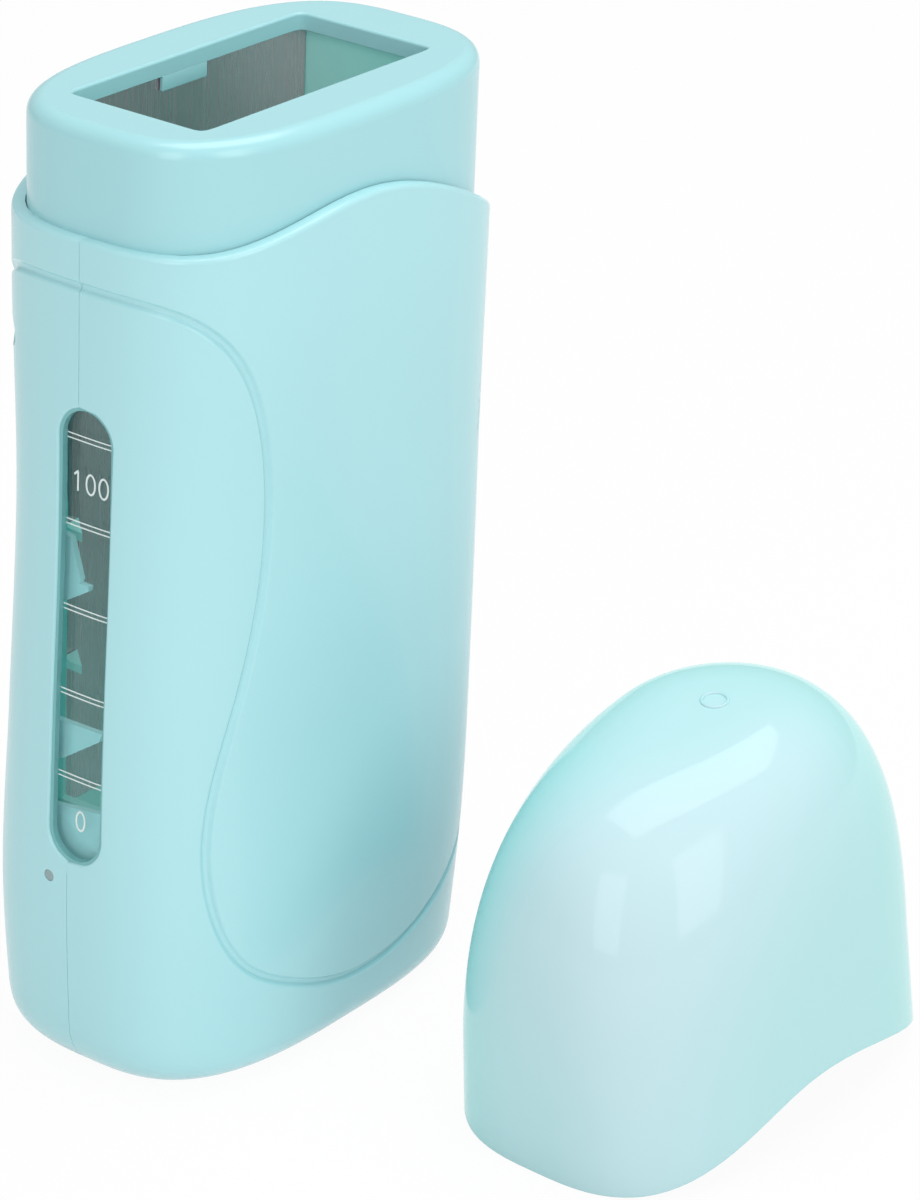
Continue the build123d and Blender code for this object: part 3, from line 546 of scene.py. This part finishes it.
def joinStretches(parts, cuts):
    # joins boundary stretches, each drawn again to its share of the columns, the shared ends written once
    line = [evenly(part, count + 1)[:-1] for part, count in zip(parts, np.diff(cuts))]
    return np.concatenate([*line, parts[-1][-1:]])


def slotLine(centre, halfWidth, low, high, edge):
    # right half of an upright slot's outline as (across, height), from its top to its foot, cut at x = edge
    reach = math.acos((edge - centre) / halfWidth)
    angles = np.linspace(reach, -reach, case["slotFine"])
    x, z = centre + halfWidth * np.cos(angles), halfWidth * np.sin(angles)
    top = np.stack([x, z + high - halfWidth], 1)[angles >= 0]
    foot = np.stack([x, z + low + halfWidth], 1)[angles <= 0]
    return np.concatenate([top, foot])


def lobeLine(halfLength, halfHeight, middle, edge):
    # right half of a lying slot's outline from its foot to its top
    angles = np.linspace(-math.pi / 2, math.pi / 2, case["lobeFine"])
    x = halfLength - halfHeight + halfHeight * np.cos(angles)
    z = middle + halfHeight * np.sin(angles)
    return np.concatenate([[[edge, z[0]]], np.stack([x, z], 1), [[edge, z[-1]]]])


def onSkin(line, front=True):
    # (across, height) to (turn, level)
    return np.stack([turnAtX(line[:, 0], line[:, 1], front), levelOf(line[:, 1])], 1)


def seamLine(edge, start, end, front=True):
    # straight stretch of a seam between two heights
    heights = np.linspace(start, end, case["seamFine"])
    return onSkin(np.stack([np.full_like(heights, edge), heights], 1), front)


def grooveRibbon(side, edge):
    # band of the skin along the groove, with its rows across the groove
    flat = smoothLine(case["groove"], case["grooveFine"])
    half, front, back = outerSizes(flat[:, 1])
    flat = flat[(flat[:, 0] > -front) & (flat[:, 0] < back)]
    middle = np.stack([turnAtY(flat[:, 0], flat[:, 1]), levelOf(flat[:, 1])], 1)
    middle[0, 0], middle[-1, 0] = turnAtX(edge, flat[0, 1]), turnAtX(edge, flat[-1, 1], False)
    middle = middle[(middle[:, 0] >= middle[0, 0]) & (middle[:, 0] <= middle[-1, 0])]
    spot = caseSkin(middle[:, 0], middle[:, 1], side)
    line = evenly(np.concatenate([spot, middle], 1), case["ribbonFine"])
    middle = evenly(line, case["columns"], 3)[:, 3:]
    # steps across the groove, solved in the skin's own two directions
    spot, byTurn, byLevel, normal = skinFrame(middle[:, 0], middle[:, 1], side)
    ahead = unit(np.gradient(spot, axis=0))
    over = np.cross(normal, ahead) * side
    aa, ab, bb = (byTurn ** 2).sum(1), (byTurn * byLevel).sum(1), (byLevel ** 2).sum(1)
    pa, pb = (over * byTurn).sum(1), (over * byLevel).sum(1)
    span = aa * bb - ab ** 2
    stepTurn, stepLevel = (pa * bb - pb * ab) / span, (pb * aa - pa * ab) / span
    stepTurn[[0, -1]] = 0
    reach = np.linspace(-case["ribbonReach"], case["ribbonReach"], case["ribbonRows"])
    turn = middle[:, 0] + reach[:, None] * stepTurn
    level = middle[:, 1] + reach[:, None] * stepLevel
    for end, front in ((0, True), (-1, False)):
        turn[:, end] = turnAtX(edge, riseOf(level[:, end]), front)
    # smooth step from the groove's edges down to its flat floor, and the normals that lean with it
    slope = (case["grooveReach"] - np.abs(reach)) / (case["grooveReach"] - case["grooveFlat"])
    slope = np.clip(slope, 0, 1)
    sunk = slope ** 2 * (3 - 2 * slope)
    lean = -case["grooveDepth"] * np.gradient(sunk, reach)
    spot, byTurn, byLevel, normal = skinFrame(turn, level, side)
    over = np.cross(normal, ahead[None]) * side
    grid = spot - normal * (sunk * case["grooveDepth"])[:, None, None]
    return turn, level, grid, unit(normal - over * lean[:, None, None]), spot - normal * case["wall"]


def lowBoundary(low, side, edge, cuts):
    # down the front seam, round the window, along the foot, round the inlet and up the back seam
    grown = case["windowRound"]
    slot = slotLine(case["windowCentre"] * side, case["windowHalf"] + grown, case["windowLow"] - grown,
                    case["windowHigh"] + grown, edge)
    grown = case["inletRound"]
    lobe = lobeLine(case["inletHalf"] + grown, case["inletRise"] + grown, case["inletCentre"], edge)
    footTurn = turnAtX(edge, np.array(0.0))
    foot = np.linspace(footTurn, math.pi - footTurn, case["footFine"])
    foot = np.stack([foot, np.full_like(foot, -skirt)], 1)
    footSpot = caseSkin(foot[:, 0], foot[:, 1], side)
    footLine = evenly(np.concatenate([footSpot, foot], 1), case["footFine"])[:, 3:]
    start, end = (float(riseOf(low[k, 1])) for k in (0, -1))
    return joinStretches(
        [seamLine(edge, start, slot[0, 1]), onSkin(slot), seamLine(edge, slot[-1, 1], 0.0), footLine,
         seamLine(edge, 0.0, lobe[0, 1], False), onSkin(lobe, False),
         seamLine(edge, lobe[-1, 1], end, False)], cuts)


def highBoundary(high, edge, cuts):
    # up the front seam, over the rim and down the back seam; the rim's heights settle in a few passes
    turn = np.linspace(0, math.pi, case["rimFine"])
    height = np.full_like(turn, case["rimHeight"])
    for _ in range(case["rimPasses"]):
        spot = ring(*outerSizes(height), height, turn, case["power"])
        height = rimAt(spot[:, 1]) - case["rimRound"]
    ends = turnAtX(edge, height)
    turn = ends + (math.pi - 2 * ends) * np.linspace(0, 1, case["rimFine"])
    start, end = (float(riseOf(high[k, 1])) for k in (0, -1))
    return joinStretches([seamLine(edge, start, height[0]), np.stack([turn, levelOf(height)], 1),
                          seamLine(edge, height[-1], end, False)], cuts)


def closingStrip(grids, pointing, inner, side, lowCuts, highCuts):
    # once round the boundary, from the outer grids over a round and a lip to the inner ones;
    # the kinds of edge are seam 0, rim 1, window 2 and inlet 3
    last = case["columns"] - 1
    windowStart, windowEnd, footStart, footEnd, inletStart, inletEnd = lowCuts[1:-1]
    highKinds, lowKinds = np.zeros(last + 1, int), np.zeros(last + 1, int)
    highKinds[highCuts[1]:highCuts[2] + 1] = 1
    lowKinds[windowStart:windowEnd + 1] = 2
    lowKinds[inletStart:inletEnd + 1] = 3
    # stretches as sheet, its edge and the kinds along it
    stretches = [
        (2, (-1, slice(None)), highKinds),  # over the rim
        (0, (slice(None, None, -1), -1), None),  # across the groove's back end
        (1, (-1, slice(last, footEnd - 1, -1)), lowKinds[:footEnd - 1:-1]),  # down the back seam
        (3, (-1, slice(None, None, -1)), None),  # along the floor
        (1, (-1, slice(footStart, None, -1)), lowKinds[footStart::-1]),  # up the front seam
        (0, (slice(None), 0), None),  # across the groove's front end
    ]
    loop, normal, innerLoop = (np.concatenate([sheets[index][pick][:-1] for index, pick, kinds in stretches])
                               for sheets in (grids, pointing, inner))
    kind = np.concatenate([(np.zeros(len(grids[index][pick]), int) if kinds is None else kinds)[:-1]
                           for index, pick, kinds in stretches])
    ahead = np.roll(loop, -1, 0) - np.roll(loop, 1, 0)
    out = unit(np.cross(normal, ahead) * side)
    radius = np.array([case[size] for size in ("seamRound", "rimRound", "windowRound", "inletRound")])
    radius, lip = radius[kind][:, None], np.where(kind == 0, case["seamHalf"], 0)[:, None]
    rows, facing = [], []
    for bend in np.linspace(0, math.pi / 2, case["bendRows"]):
        rows.append(loop + out * radius * math.sin(bend) - normal * radius * (1 - math.cos(bend)))
        facing.append(normal * math.cos(bend) + out * math.sin(bend))
    deep, thin = case["seamDepth"], case["seamLip"]
    for depth, reach, toward in ((deep, 0, out), (deep, 1, normal), (deep + thin, 1, out)):
        rows.append(loop + out * (radius + lip * reach) - normal * np.maximum(depth, radius))
        facing.append(toward)
    foot = innerLoop + out * (radius + lip)
    rows += [foot + normal * thin, foot, innerLoop]
    facing += [out, -normal, -normal]
    return np.stack(rows), np.stack(facing)


def halfShell(side):
    # one half of the case, as grids, their normals and which of them wrap
    edge = case["seamHalf"] + case["seamRound"]
    columns = case["columns"]
    lowCuts, highCuts = (np.round(np.array(case[corners]) * (columns - 1)).astype(int)
                         for corners in ("lowCorners", "highCorners"))
    turn, level, ribbon, ribbonNormal, ribbonInner = grooveRibbon(side, edge)
    low, high = np.stack([turn[0], level[0]], 1), np.stack([turn[-1], level[-1]], 1)
    grids, pointing, inner = [ribbon], [ribbonNormal], [ribbonInner]
    dipShare = np.exp(-((np.linspace(0, 1, columns) - case["dipAt"]) / case["dipWidth"]) ** 2)
    # sheets from the ribbon's two long edges to the boundary; the dip is deepest halfway, where
    # 4 * mix * (1 - mix) is one
    for start, end, rows, dip in (
            (low, lowBoundary(low, side, edge, lowCuts), case["frontRows"], case["dip"]),
            (high, highBoundary(high, edge, highCuts), case["backRows"], 0.0)):
        mix = np.linspace(0, 1, rows)[:, None, None]
        both = start * (1 - mix) + end * mix
        both[..., 1] -= dip * dipShare * 4 * mix[..., 0] * (1 - mix[..., 0])
        spot, byTurn, byLevel, normal = skinFrame(both[..., 0], both[..., 1], side)
        grids.append(spot)
        pointing.append(normal)
        inner.append(spot - normal * case["wall"])
    # flat floor, from the foot's outline to the seam
    foot = slice(lowCuts[3], lowCuts[4] + 1)
    down = np.array([0.0, 0.0, -1.0])
    outline = grids[1][-1, foot]
    pointing[1][-1, foot] = down
    inner[1][-1, foot] = outline - down * case["wall"]
    mix = np.linspace(0, 1, case["floorRows"])[:, None]
    floor = np.repeat(outline[None], case["floorRows"], 0)
    floor[..., 0] = outline[:, 0] * (1 - mix) + edge * side * mix
    grids.append(floor)
    pointing.append(np.broadcast_to(down, floor.shape))
    inner.append(floor - down * case["wall"])
    strip, stripNormals = closingStrip(grids, pointing, inner, side, lowCuts, highCuts)
    sheets = [*grids, *inner]
    facing = [*pointing, *[-n for n in pointing], stripNormals]
    return [*sheets, strip], facing, [False] * len(sheets) + [True]


holes = dict(screws=[(-28.0, 9.2), (9.0, 8.4), (-33.6, 117.4), (34.6, 112.0)], radius=2.5,
             barStart=-45.0, barEnd=-9.0, barColumns=40,
             tubeOuter=3.7, tubeInner=2.45, tubeStart=1.0, tubeEnd=-6.0,
             pilot=(-3.6, 34.6), pilotRadius=0.95, pilotStart=-50.0, pilotEnd=-35.0, pilotColumns=32,
             aside=(0.3, 0.5, 0.8),  # any direction that no bar has
             sameFacing=0.4)  # faces that turn further than this from the old skin are a hole's own


def rodGrid(start, end, radius, columns):
    # closed round bar between two points, its rows running from one end's middle to the other's
    start, end = np.array(start, float), np.array(end, float)
    ahead = unit(end - start)
    first = unit(np.cross(ahead, holes["aside"]))
    second = np.cross(ahead, first)
    turn = fullTurn(columns)[:, None]
    away = (np.cos(turn) * first + np.sin(turn) * second) * radius
    return np.stack([start + 0 * away, start + away, end + away, end + 0 * away])


def cutHoles(shell, bars):
    # cuts round bars out of a shell; the new mesh gets the old one's normals, and plain ones inside the holes
    cutter = meshFrom("cutter", bars, "heater")
    old = shell.data
    kept = np.zeros((len(old.vertices), 3))
    kept[readAll(old.loops, "vertex_index", kind=int)] = readAll(old.corner_normals, "vector", 3)
    tree = KDTree(len(old.vertices))
    for vertex in old.vertices:
        tree.insert(vertex.co, vertex.index)
    tree.balance()
    modifier = shell.modifiers.new("holes", "BOOLEAN")
    modifier.operation, modifier.solver, modifier.object = "DIFFERENCE", "EXACT", cutter
    mesh = bpy.data.meshes.new_from_object(shell.evaluated_get(bpy.context.evaluated_depsgraph_get()))
    shell.modifiers.clear()
    near = np.array([tree.find(vertex.co)[1] for vertex in mesh.vertices])
    smooth = kept[near[readAll(mesh.loops, "vertex_index", kind=int)]]
    facing = readAll(mesh.polygons, "normal", 3)
    facing = np.repeat(facing, readAll(mesh.polygons, "loop_total", kind=int), 0)
    plain = (facing * smooth).sum(1) < holes["sameFacing"]
    smooth[plain] = facing[plain]
    mesh.polygons.foreach_set("use_smooth", [True] * len(mesh.polygons))
    mesh.normals_split_custom_set(smooth.tolist())
    shell.data = mesh
    bpy.data.objects.remove(cutter)


def skinX(depth, height, radius, count=24):
    # innermost x of the left half's outside round a place seen from the side
    turn = np.linspace(0, 2 * math.pi, count)
    half, front, back = outerSizes(height + radius * np.sin(turn))
    along = depth + radius * np.cos(turn)
    share = np.clip(np.abs(along / np.where(along < 0, front, back)), 0, 1)
    return float((-half * restOf(share)).max())


def tubeGrid(start, end, outer, inner, columns=48):
    # closed tube along X, once round its wall
    turn = fullTurn(columns)
    away = np.stack([0 * turn, np.cos(turn), np.sin(turn)], 1)
    section = (start, outer), (end, outer), (end, inner), (start, inner), (start, outer)
    return np.stack([np.array(middle) + away * radius for middle, radius in section])


for name, side in (("right_shell", 1), ("left_shell", -1)):
    grids, facing, wraps = halfShell(side)
    shell = meshFrom(name + "_skin", grids, "heater", "casePlastic", facing, wraps)
    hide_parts(name)
bars, tubes = [], []
for y, z in holes["screws"]:
    start, end = (holes["barStart"], y, z), (holes["barEnd"], y, z)
    bars.append(rodGrid(start, end, holes["radius"], holes["barColumns"]))
    start = skinX(y, z, holes["tubeOuter"]) + holes["tubeStart"]
    tubes.append(tubeGrid((start, y, z), (holes["tubeEnd"], y, z), holes["tubeOuter"], holes["tubeInner"]))
x, z = holes["pilot"]
start, end = (x, holes["pilotStart"], z), (x, holes["pilotEnd"], z)
bars.append(rodGrid(start, end, holes["pilotRadius"], holes["pilotColumns"]))
cutHoles(shell, bars)
wells = meshFrom("screw_wells", tubes, "heater", "casePlastic")
print("case halves built")


def gridNormals(grid):
    # outward directions of a grid that wraps in its columns, counted round from above, with rows going up
    normal = np.cross(np.roll(grid, -1, 1) - np.roll(grid, 1, 1), np.gradient(grid, axis=0))
    size = np.linalg.norm(normal, axis=-1, keepdims=True)
    return np.where(size > tiny, normal / np.maximum(size, tiny), [0.0, 0.0, 1.0])


def outlineOf(half, depth, power, turn, shift=0.0):
    # flat outline and its outward directions
    flat = ring(half, depth, depth, 0.0, turn, power)
    flat[:, 1] += shift
    ahead = np.roll(flat, -1, 0) - np.roll(flat, 1, 0)
    return flat, unit(np.stack([ahead[:, 1], -ahead[:, 0], 0 * ahead[:, 0]], 1))


def roundBlock(low, high, radius, columns=32, rings=12):
    # box with rounded edges: centre + (half size - radius) * sign(n) + radius * n, n on a sphere
    low, high = np.array(low, float), np.array(high, float)
    middle, half = (low + high) / 2, (high - low) / 2 - radius
    turn = (np.arange(columns) + 0.5) * 2 * math.pi / columns
    c, s, up = np.cos(turn), np.sin(turn), np.ones(columns)
    pole = np.array([0, 0, half[2] + radius])
    rows, facing = [np.repeat([middle - pole], columns, 0)], [np.repeat([[0, 0, -1.0]], columns, 0)]
    rises = (np.arange(rings) + 0.5) * math.pi / rings - math.pi / 2
    for rise in [-math.pi / 2, *rises, math.pi / 2]:
        n = np.stack([c * math.cos(rise), s * math.cos(rise), up * math.sin(rise)], 1)
        sign = np.stack([np.sign(c), np.sign(s), up * math.copysign(1, rise)], 1)
        rows.append(middle + half * sign + radius * n)
        facing.append(n)
    rows.append(np.repeat([middle + pole], columns, 0))
    facing.append(np.repeat([[0, 0, 1.0]], columns, 0))
    return np.stack(rows), np.stack(facing)


collar = dict(half=23.0, depth=37.6, wall=2.2, low=121.8, high=153.4, bend=2.6, lip=2.8, power=3.0,
              mouthHalf=12.6, mouthDepth=26.5, mouthShift=-1.1, mouthPower=30.0, mouthBend=0.45, edge=0.15,
              tabLow=(-13.3, -6.7, 148.3), tabHigh=(-12.6, 3.5, 150.75), tabBend=0.2,
              columns=352, wallRows=8, bendRows=12, topRows=8, mouthRows=7)


def collarGrid():
    # rows of outlines: up the wall, over the round, across the flat top, into the mouth and back down inside
    turn = fullTurn(collar["columns"])
    wall, power, edge, high = collar["wall"], collar["power"], collar["edge"], collar["high"]
    bend, mouthBend = collar["bend"], collar["mouthBend"]
    outer = outlineOf(collar["half"], collar["depth"], power, turn)
    mouth = outlineOf(collar["mouthHalf"], collar["mouthDepth"], collar["mouthPower"], turn,
                      collar["mouthShift"])
    inner = outlineOf(collar["half"] - wall, collar["depth"] - wall, power, turn)
    up = np.array([0.0, 0.0, 1.0])
    rows, facing = [], []

    def add(line, offset, height, outward, upward):
        rows.append(line[0] + line[1] * offset + up * height)
        facing.append(line[1] * outward + up * upward)

    low, shoulder, under = collar["low"], high - bend, high - collar["lip"]
    for height in np.linspace(low + edge, shoulder, collar["wallRows"]):
        add(outer, 0, height, 1, 0)
    for angle in np.linspace(0, math.pi / 2, collar["bendRows"])[1:]:
        c, s = math.cos(angle), math.sin(angle)
        add(outer, -bend * (1 - c), shoulder + bend * s, c, s)
    start, end = rows[-1], mouth[0] + mouth[1] * mouthBend + up * high
    for share in np.linspace(0, 1, collar["topRows"])[1:]:
        rows.append(start * (1 - share) + end * share)
        facing.append(np.repeat([up], len(turn), 0))
    for angle in np.linspace(0, math.pi / 2, collar["mouthRows"])[1:]:
        c, s = math.cos(angle), math.sin(angle)
        add(mouth, mouthBend * (1 - s), high - mouthBend * (1 - c), -s, c)
    for line, offset, height, outward, upward in (
            (mouth, 0, under + edge, -1, 0), (mouth, edge, under, 0, -1), (inner, -edge, under, 0, -1),
            (inner, 0, under - edge, -1, 0), (inner, 0, low + edge, -1, 0), (inner, edge, low, 0, -1),
            (outer, -edge, low, 0, -1), (outer, 0, low + edge, 1, 0)):
        add(line, offset, height, outward, upward)
    return np.stack(rows), np.stack(facing)


ringGrid, ringFacing = collarGrid()
tabGrid, tabFacing = roundBlock(collar["tabLow"], collar["tabHigh"], collar["tabBend"])
collarSkin = meshFrom("neck_collar_skin", [ringGrid, tabGrid], "heater", "collarPlastic",
                      [ringFacing, tabFacing])
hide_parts("neck_collar")
print("collar built")

cap = dict(half=24.7, front=39.2, back=39.2, wall=1.4, skirt=11.5, height=58.3, draft=0.015, power=3.0,
           frontPower=4.5, backPower=2.3, sidePower=3.25, shift=9.3, topPower=1.89, powerChange=1.2,
           gap=0.3, edge=0.4, place=(71.9, 23.0), turned=-1.6,
           columns=352, skirtRows=12, domeRows=64, domeCrowd=2 / 3, edgeRows=7, lowerPasses=4,
           gatePlace=(-0.5, 8.5), gateRadius=2.0, gateTube=0.28, gateColumns=49, gateRows=16)


def capPoint(turn, level, inset):
    # drafted skirt, then a dome: half = size * (1 - share^p)^(1/p), its middle moved back by shift * share^2
    skirtTop, top = cap["skirt"], cap["height"] - inset
    grow = 1 + cap["draft"] * np.maximum(skirtTop - level, 0) / skirtTop
    share = np.clip((level - skirtTop) / (top - skirtTop), 0, 1)
    sizes = [(cap[size] - inset) * grow * restOf(share, cap[power])
             for size, power in (("half", "sidePower"), ("front", "frontPower"), ("back", "backPower"))]
    power = cap["power"] + (cap["topPower"] - cap["power"]) * share ** cap["powerChange"]
    spot = ring(*sizes, level, turn, power)
    spot[..., 1] += cap["shift"] * share ** 2
    return spot


def capLower(turn, inset):
    # level of the lower edge, which follows the rim of the case and settles in a few passes
    level = np.zeros_like(turn)
    for _ in range(cap["lowerPasses"]):
        level = rimAt(capPoint(turn, level, inset)[..., 1]) + cap["gap"] - case["rimHeight"]
    return level


def capWall(turn, inset):
    # even rows up the skirt, then rows of the dome that stand closer towards the crown
    start = capLower(turn, inset) + cap["edge"]
    levels = start + (cap["skirt"] - start) * np.linspace(0, 1, cap["skirtRows"])[:, None]
    share = np.sin(np.linspace(0, math.pi / 2, cap["domeRows"])[1:]) ** cap["domeCrowd"]
    dome = cap["skirt"] + (cap["height"] - inset - cap["skirt"]) * share
    levels = np.concatenate([levels, np.repeat(dome[:, None], len(turn), 1)])
    grid = capPoint(turn[None], levels, inset)
    facing = gridNormals(grid)
    facing[-1] = [0, 0, 1]
    return grid, facing


def capSheet():
    # one sheet of rows: down the inner wall from its pole, round the lower edge and up the outer wall
    turn = fullTurn(cap["columns"])
    outer, outerFacing = capWall(turn, 0.0)
    inner, innerFacing = capWall(turn, cap["wall"])
    edge, down = cap["edge"], np.array([0, 0, -1.0])
    bends = np.linspace(0, math.pi / 2, cap["edgeRows"])[1:]
    rows, facing = [*inner[::-1]], [*(-innerFacing[::-1])]
    for angles, wall, sign, outward in ((bends, cap["wall"], -1, -innerFacing[0]),
                                        (bends[::-1], 0.0, 1, outerFacing[0])):
        for angle in angles:
            inset = wall + sign * edge * (1 - math.cos(angle))
            level = capLower(turn, inset) + edge * (1 - math.sin(angle))
            rows.append(capPoint(turn, level, inset))
            facing.append(outward * math.cos(angle) + down * math.sin(angle))
    rows.extend(outer)
    facing.extend(outerFacing)
    return np.stack(rows), np.stack(facing), outer, outerFacing


def gateRing(outer, outerFacing):
    # small raised ring left by the mould's gate, lying on the nearest point of the crown
    flat = outer[..., :2] - cap["gatePlace"]
    near = np.unravel_index((flat ** 2).sum(-1).argmin(), flat.shape[:2])
    spot, normal = outer[near], outerFacing[near]
    first = unit(np.cross(normal, [0, 1, 0]))
    second = np.cross(normal, first)
    around = np.linspace(0, 2 * math.pi, cap["gateColumns"])[:, None, None]
    bend = fullTurn(cap["gateRows"])[None, :, None]
    away = np.cos(around) * first + np.sin(around) * second
    facing = away * np.cos(bend) + normal * np.sin(bend)
    return spot + away * cap["gateRadius"] + facing * cap["gateTube"], facing


def capGrids():
    # the cap tipped as it stands on its lower edge, turned, and set down on the floor
    sheet, sheetFacing, outer, outerFacing = capSheet()
    gate, gateFacing = gateRing(outer, outerFacing)
    tip = math.atan2(case["backDrop"], cap["front"] + cap["back"])
    turned = np.array(Matrix.Rotation(math.radians(cap["turned"]), 3, "Z") @ Matrix.Rotation(tip, 3, "X"))
    grids, facings = ([array @ turned.T for array in arrays]
                      for arrays in ((sheet, gate), (sheetFacing, gateFacing)))
    lowest = grids[0][..., 2].min()
    return [grid + [*cap["place"], -lowest] for grid in grids], facings


grids, facing = capGrids()
capSkin = meshFrom("cap_skin", grids, "cap", "capPlastic", facing)
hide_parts("cap")
print("cap built")

marks = dict(first=51.6, step=13.6, count=5, apart=0.75, lineWidth=0.2, lift=0.03, deep=0.06, inset=1.5,
             left=-3.36, right=5.76, lineColumns=24, middle=1.25, zeroColumns=49,
             # numbers and their heights, and the 1 as (across, height) in shares of a digit's size
             texts=[("100", 99.2), ("0", 44.8)], one=[(-0.45, 0.29), (0, 0.5), (0, 0.49), (0, -0.5)],
             digitHigh=3.1, digitWide=1.65, digitStroke=0.32, digitGap=2.45)


def underSkin(flat, depth):
    # points given as (across, height), put on the surface that lies this deep under the front of the case
    half, front, back = outerSizes(flat[:, 1])
    share = np.clip(np.abs(flat[:, 0]) / (half - depth), 0, 1)
    return np.stack([flat[:, 0], -(front - depth) * restOf(share), flat[:, 1]], 1)


def stroke(path, width, closed=False):
    # flat band along a path of (across, height) on the lens face
    ahead = np.gradient(path, axis=0)
    if closed:
        ahead[[0, -1]] = path[1] - path[-2]
    ahead = unit(ahead)
    over = np.stack([-ahead[:, 1], ahead[:, 0]], 1) * width / 2
    corners = (-1, marks["lift"]), (1, marks["lift"]), (1, -marks["deep"]), (-1, -marks["deep"])
    band = np.stack([underSkin(path + over * side, marks["inset"] - rise) for side, rise in corners], 1)
    if not closed:
        ends = band.mean(1, keepdims=True).repeat(len(corners), 1)
        band = np.concatenate([ends[:1], band, ends[-1:]])
    return band


def levelMarks():
    # pairs of fine lines across the window, 100 near the top and 0 at the bottom
    bands = []
    across = np.linspace(marks["left"], marks["right"], marks["lineColumns"])
    for index in range(marks["count"]):
        for side in (-0.5, 0.5):
            height = marks["first"] + index * marks["step"] + side * marks["apart"]
            bands.append(stroke(np.stack([across, np.full_like(across, height)], 1), marks["lineWidth"]))
    angle = np.linspace(0, 2 * math.pi, marks["zeroColumns"])
    zero = np.stack([np.cos(angle) * marks["digitWide"] / 2, np.sin(angle) * marks["digitHigh"] / 2], 1)
    one = np.array(marks["one"]) * [marks["digitWide"], marks["digitHigh"]]
    for text, height in marks["texts"]:
        for index, digit in enumerate(text):
            shift = marks["middle"] + (index - (len(text) - 1) / 2) * marks["digitGap"]
            shape = zero if digit == "0" else one
            bands.append(stroke(shape + [shift, height], marks["digitStroke"], digit == "0"))
    return bands


levelPiece = meshFrom("level_marks", levelMarks(), "heater", "markWhite")
print("marks built")

window = dict(
    # section of the bezel as (distance in from the slot's wall, depth under the skin)
    bezel=[(0.02, 0.35), (0.43, 0.35), (0.55, 0.5), (0.55, 1.48), (0.02, 1.48)], columns=300, fine=721,
    # outlines of the webs behind the lens, as (across, height), and their depths under the skin
    webs=[[(-6.2, 59.2), (3.9, 59.6), (3.4, 58.2), (-3.6, 53.3), (-6.2, 52.6)],
          [(-6.0, 82.1), (0.4, 82.4), (0.3, 81.6), (-3.6, 79.1), (-6.0, 78.6)],
          [(-5.0, 89.4), (-3.4, 89.2), (-1.2, 83.1), (-1.6, 82.2), (-5.0, 82.1)],
          [(-6.0, 45.0), (8.4, 46.6), (8.4, 36.4), (-6.0, 36.4)]],
    webFront=3.4, webBack=4.4)


def slotRing(inset):
    # outline of the window slot drawn in by an inset: two half circles and the straight sides between them
    turn = np.append(np.linspace(0, 2 * math.pi, window["fine"]), 0)
    high, low = case["windowHigh"] - case["windowHalf"], case["windowLow"] + case["windowHalf"]
    radius = case["windowHalf"] - inset
    height = np.where(np.sin(turn) >= 0, high, low) + radius * np.sin(turn)
    line = np.stack([case["windowCentre"] + radius * np.cos(turn), height], 1)
    return evenly(line, window["columns"] + 1)[:-1]


def slab(outline):
    # closed plate that follows the skin at two depths, each face closed on its middle
    outline = np.array(outline)
    middle = np.repeat(outline.mean(0, keepdims=True), len(outline), 0)
    front, back = window["webFront"], window["webBack"]
    section = (middle, front), (outline, front), (outline, back), (middle, back)
    return np.stack([underSkin(flat, depth) for flat, depth in section])


section = window["bezel"] + window["bezel"][:1]
bezelGrid = np.stack([underSkin(slotRing(inset), depth) for inset, depth in section])
bezel = meshFrom("window_bezel", [bezelGrid], "heater", "bezelPlastic")
webs = meshFrom("window_webs", [slab(outline) for outline in window["webs"]], "heater", "webPlasticPaintedLight")
print("window trim built")
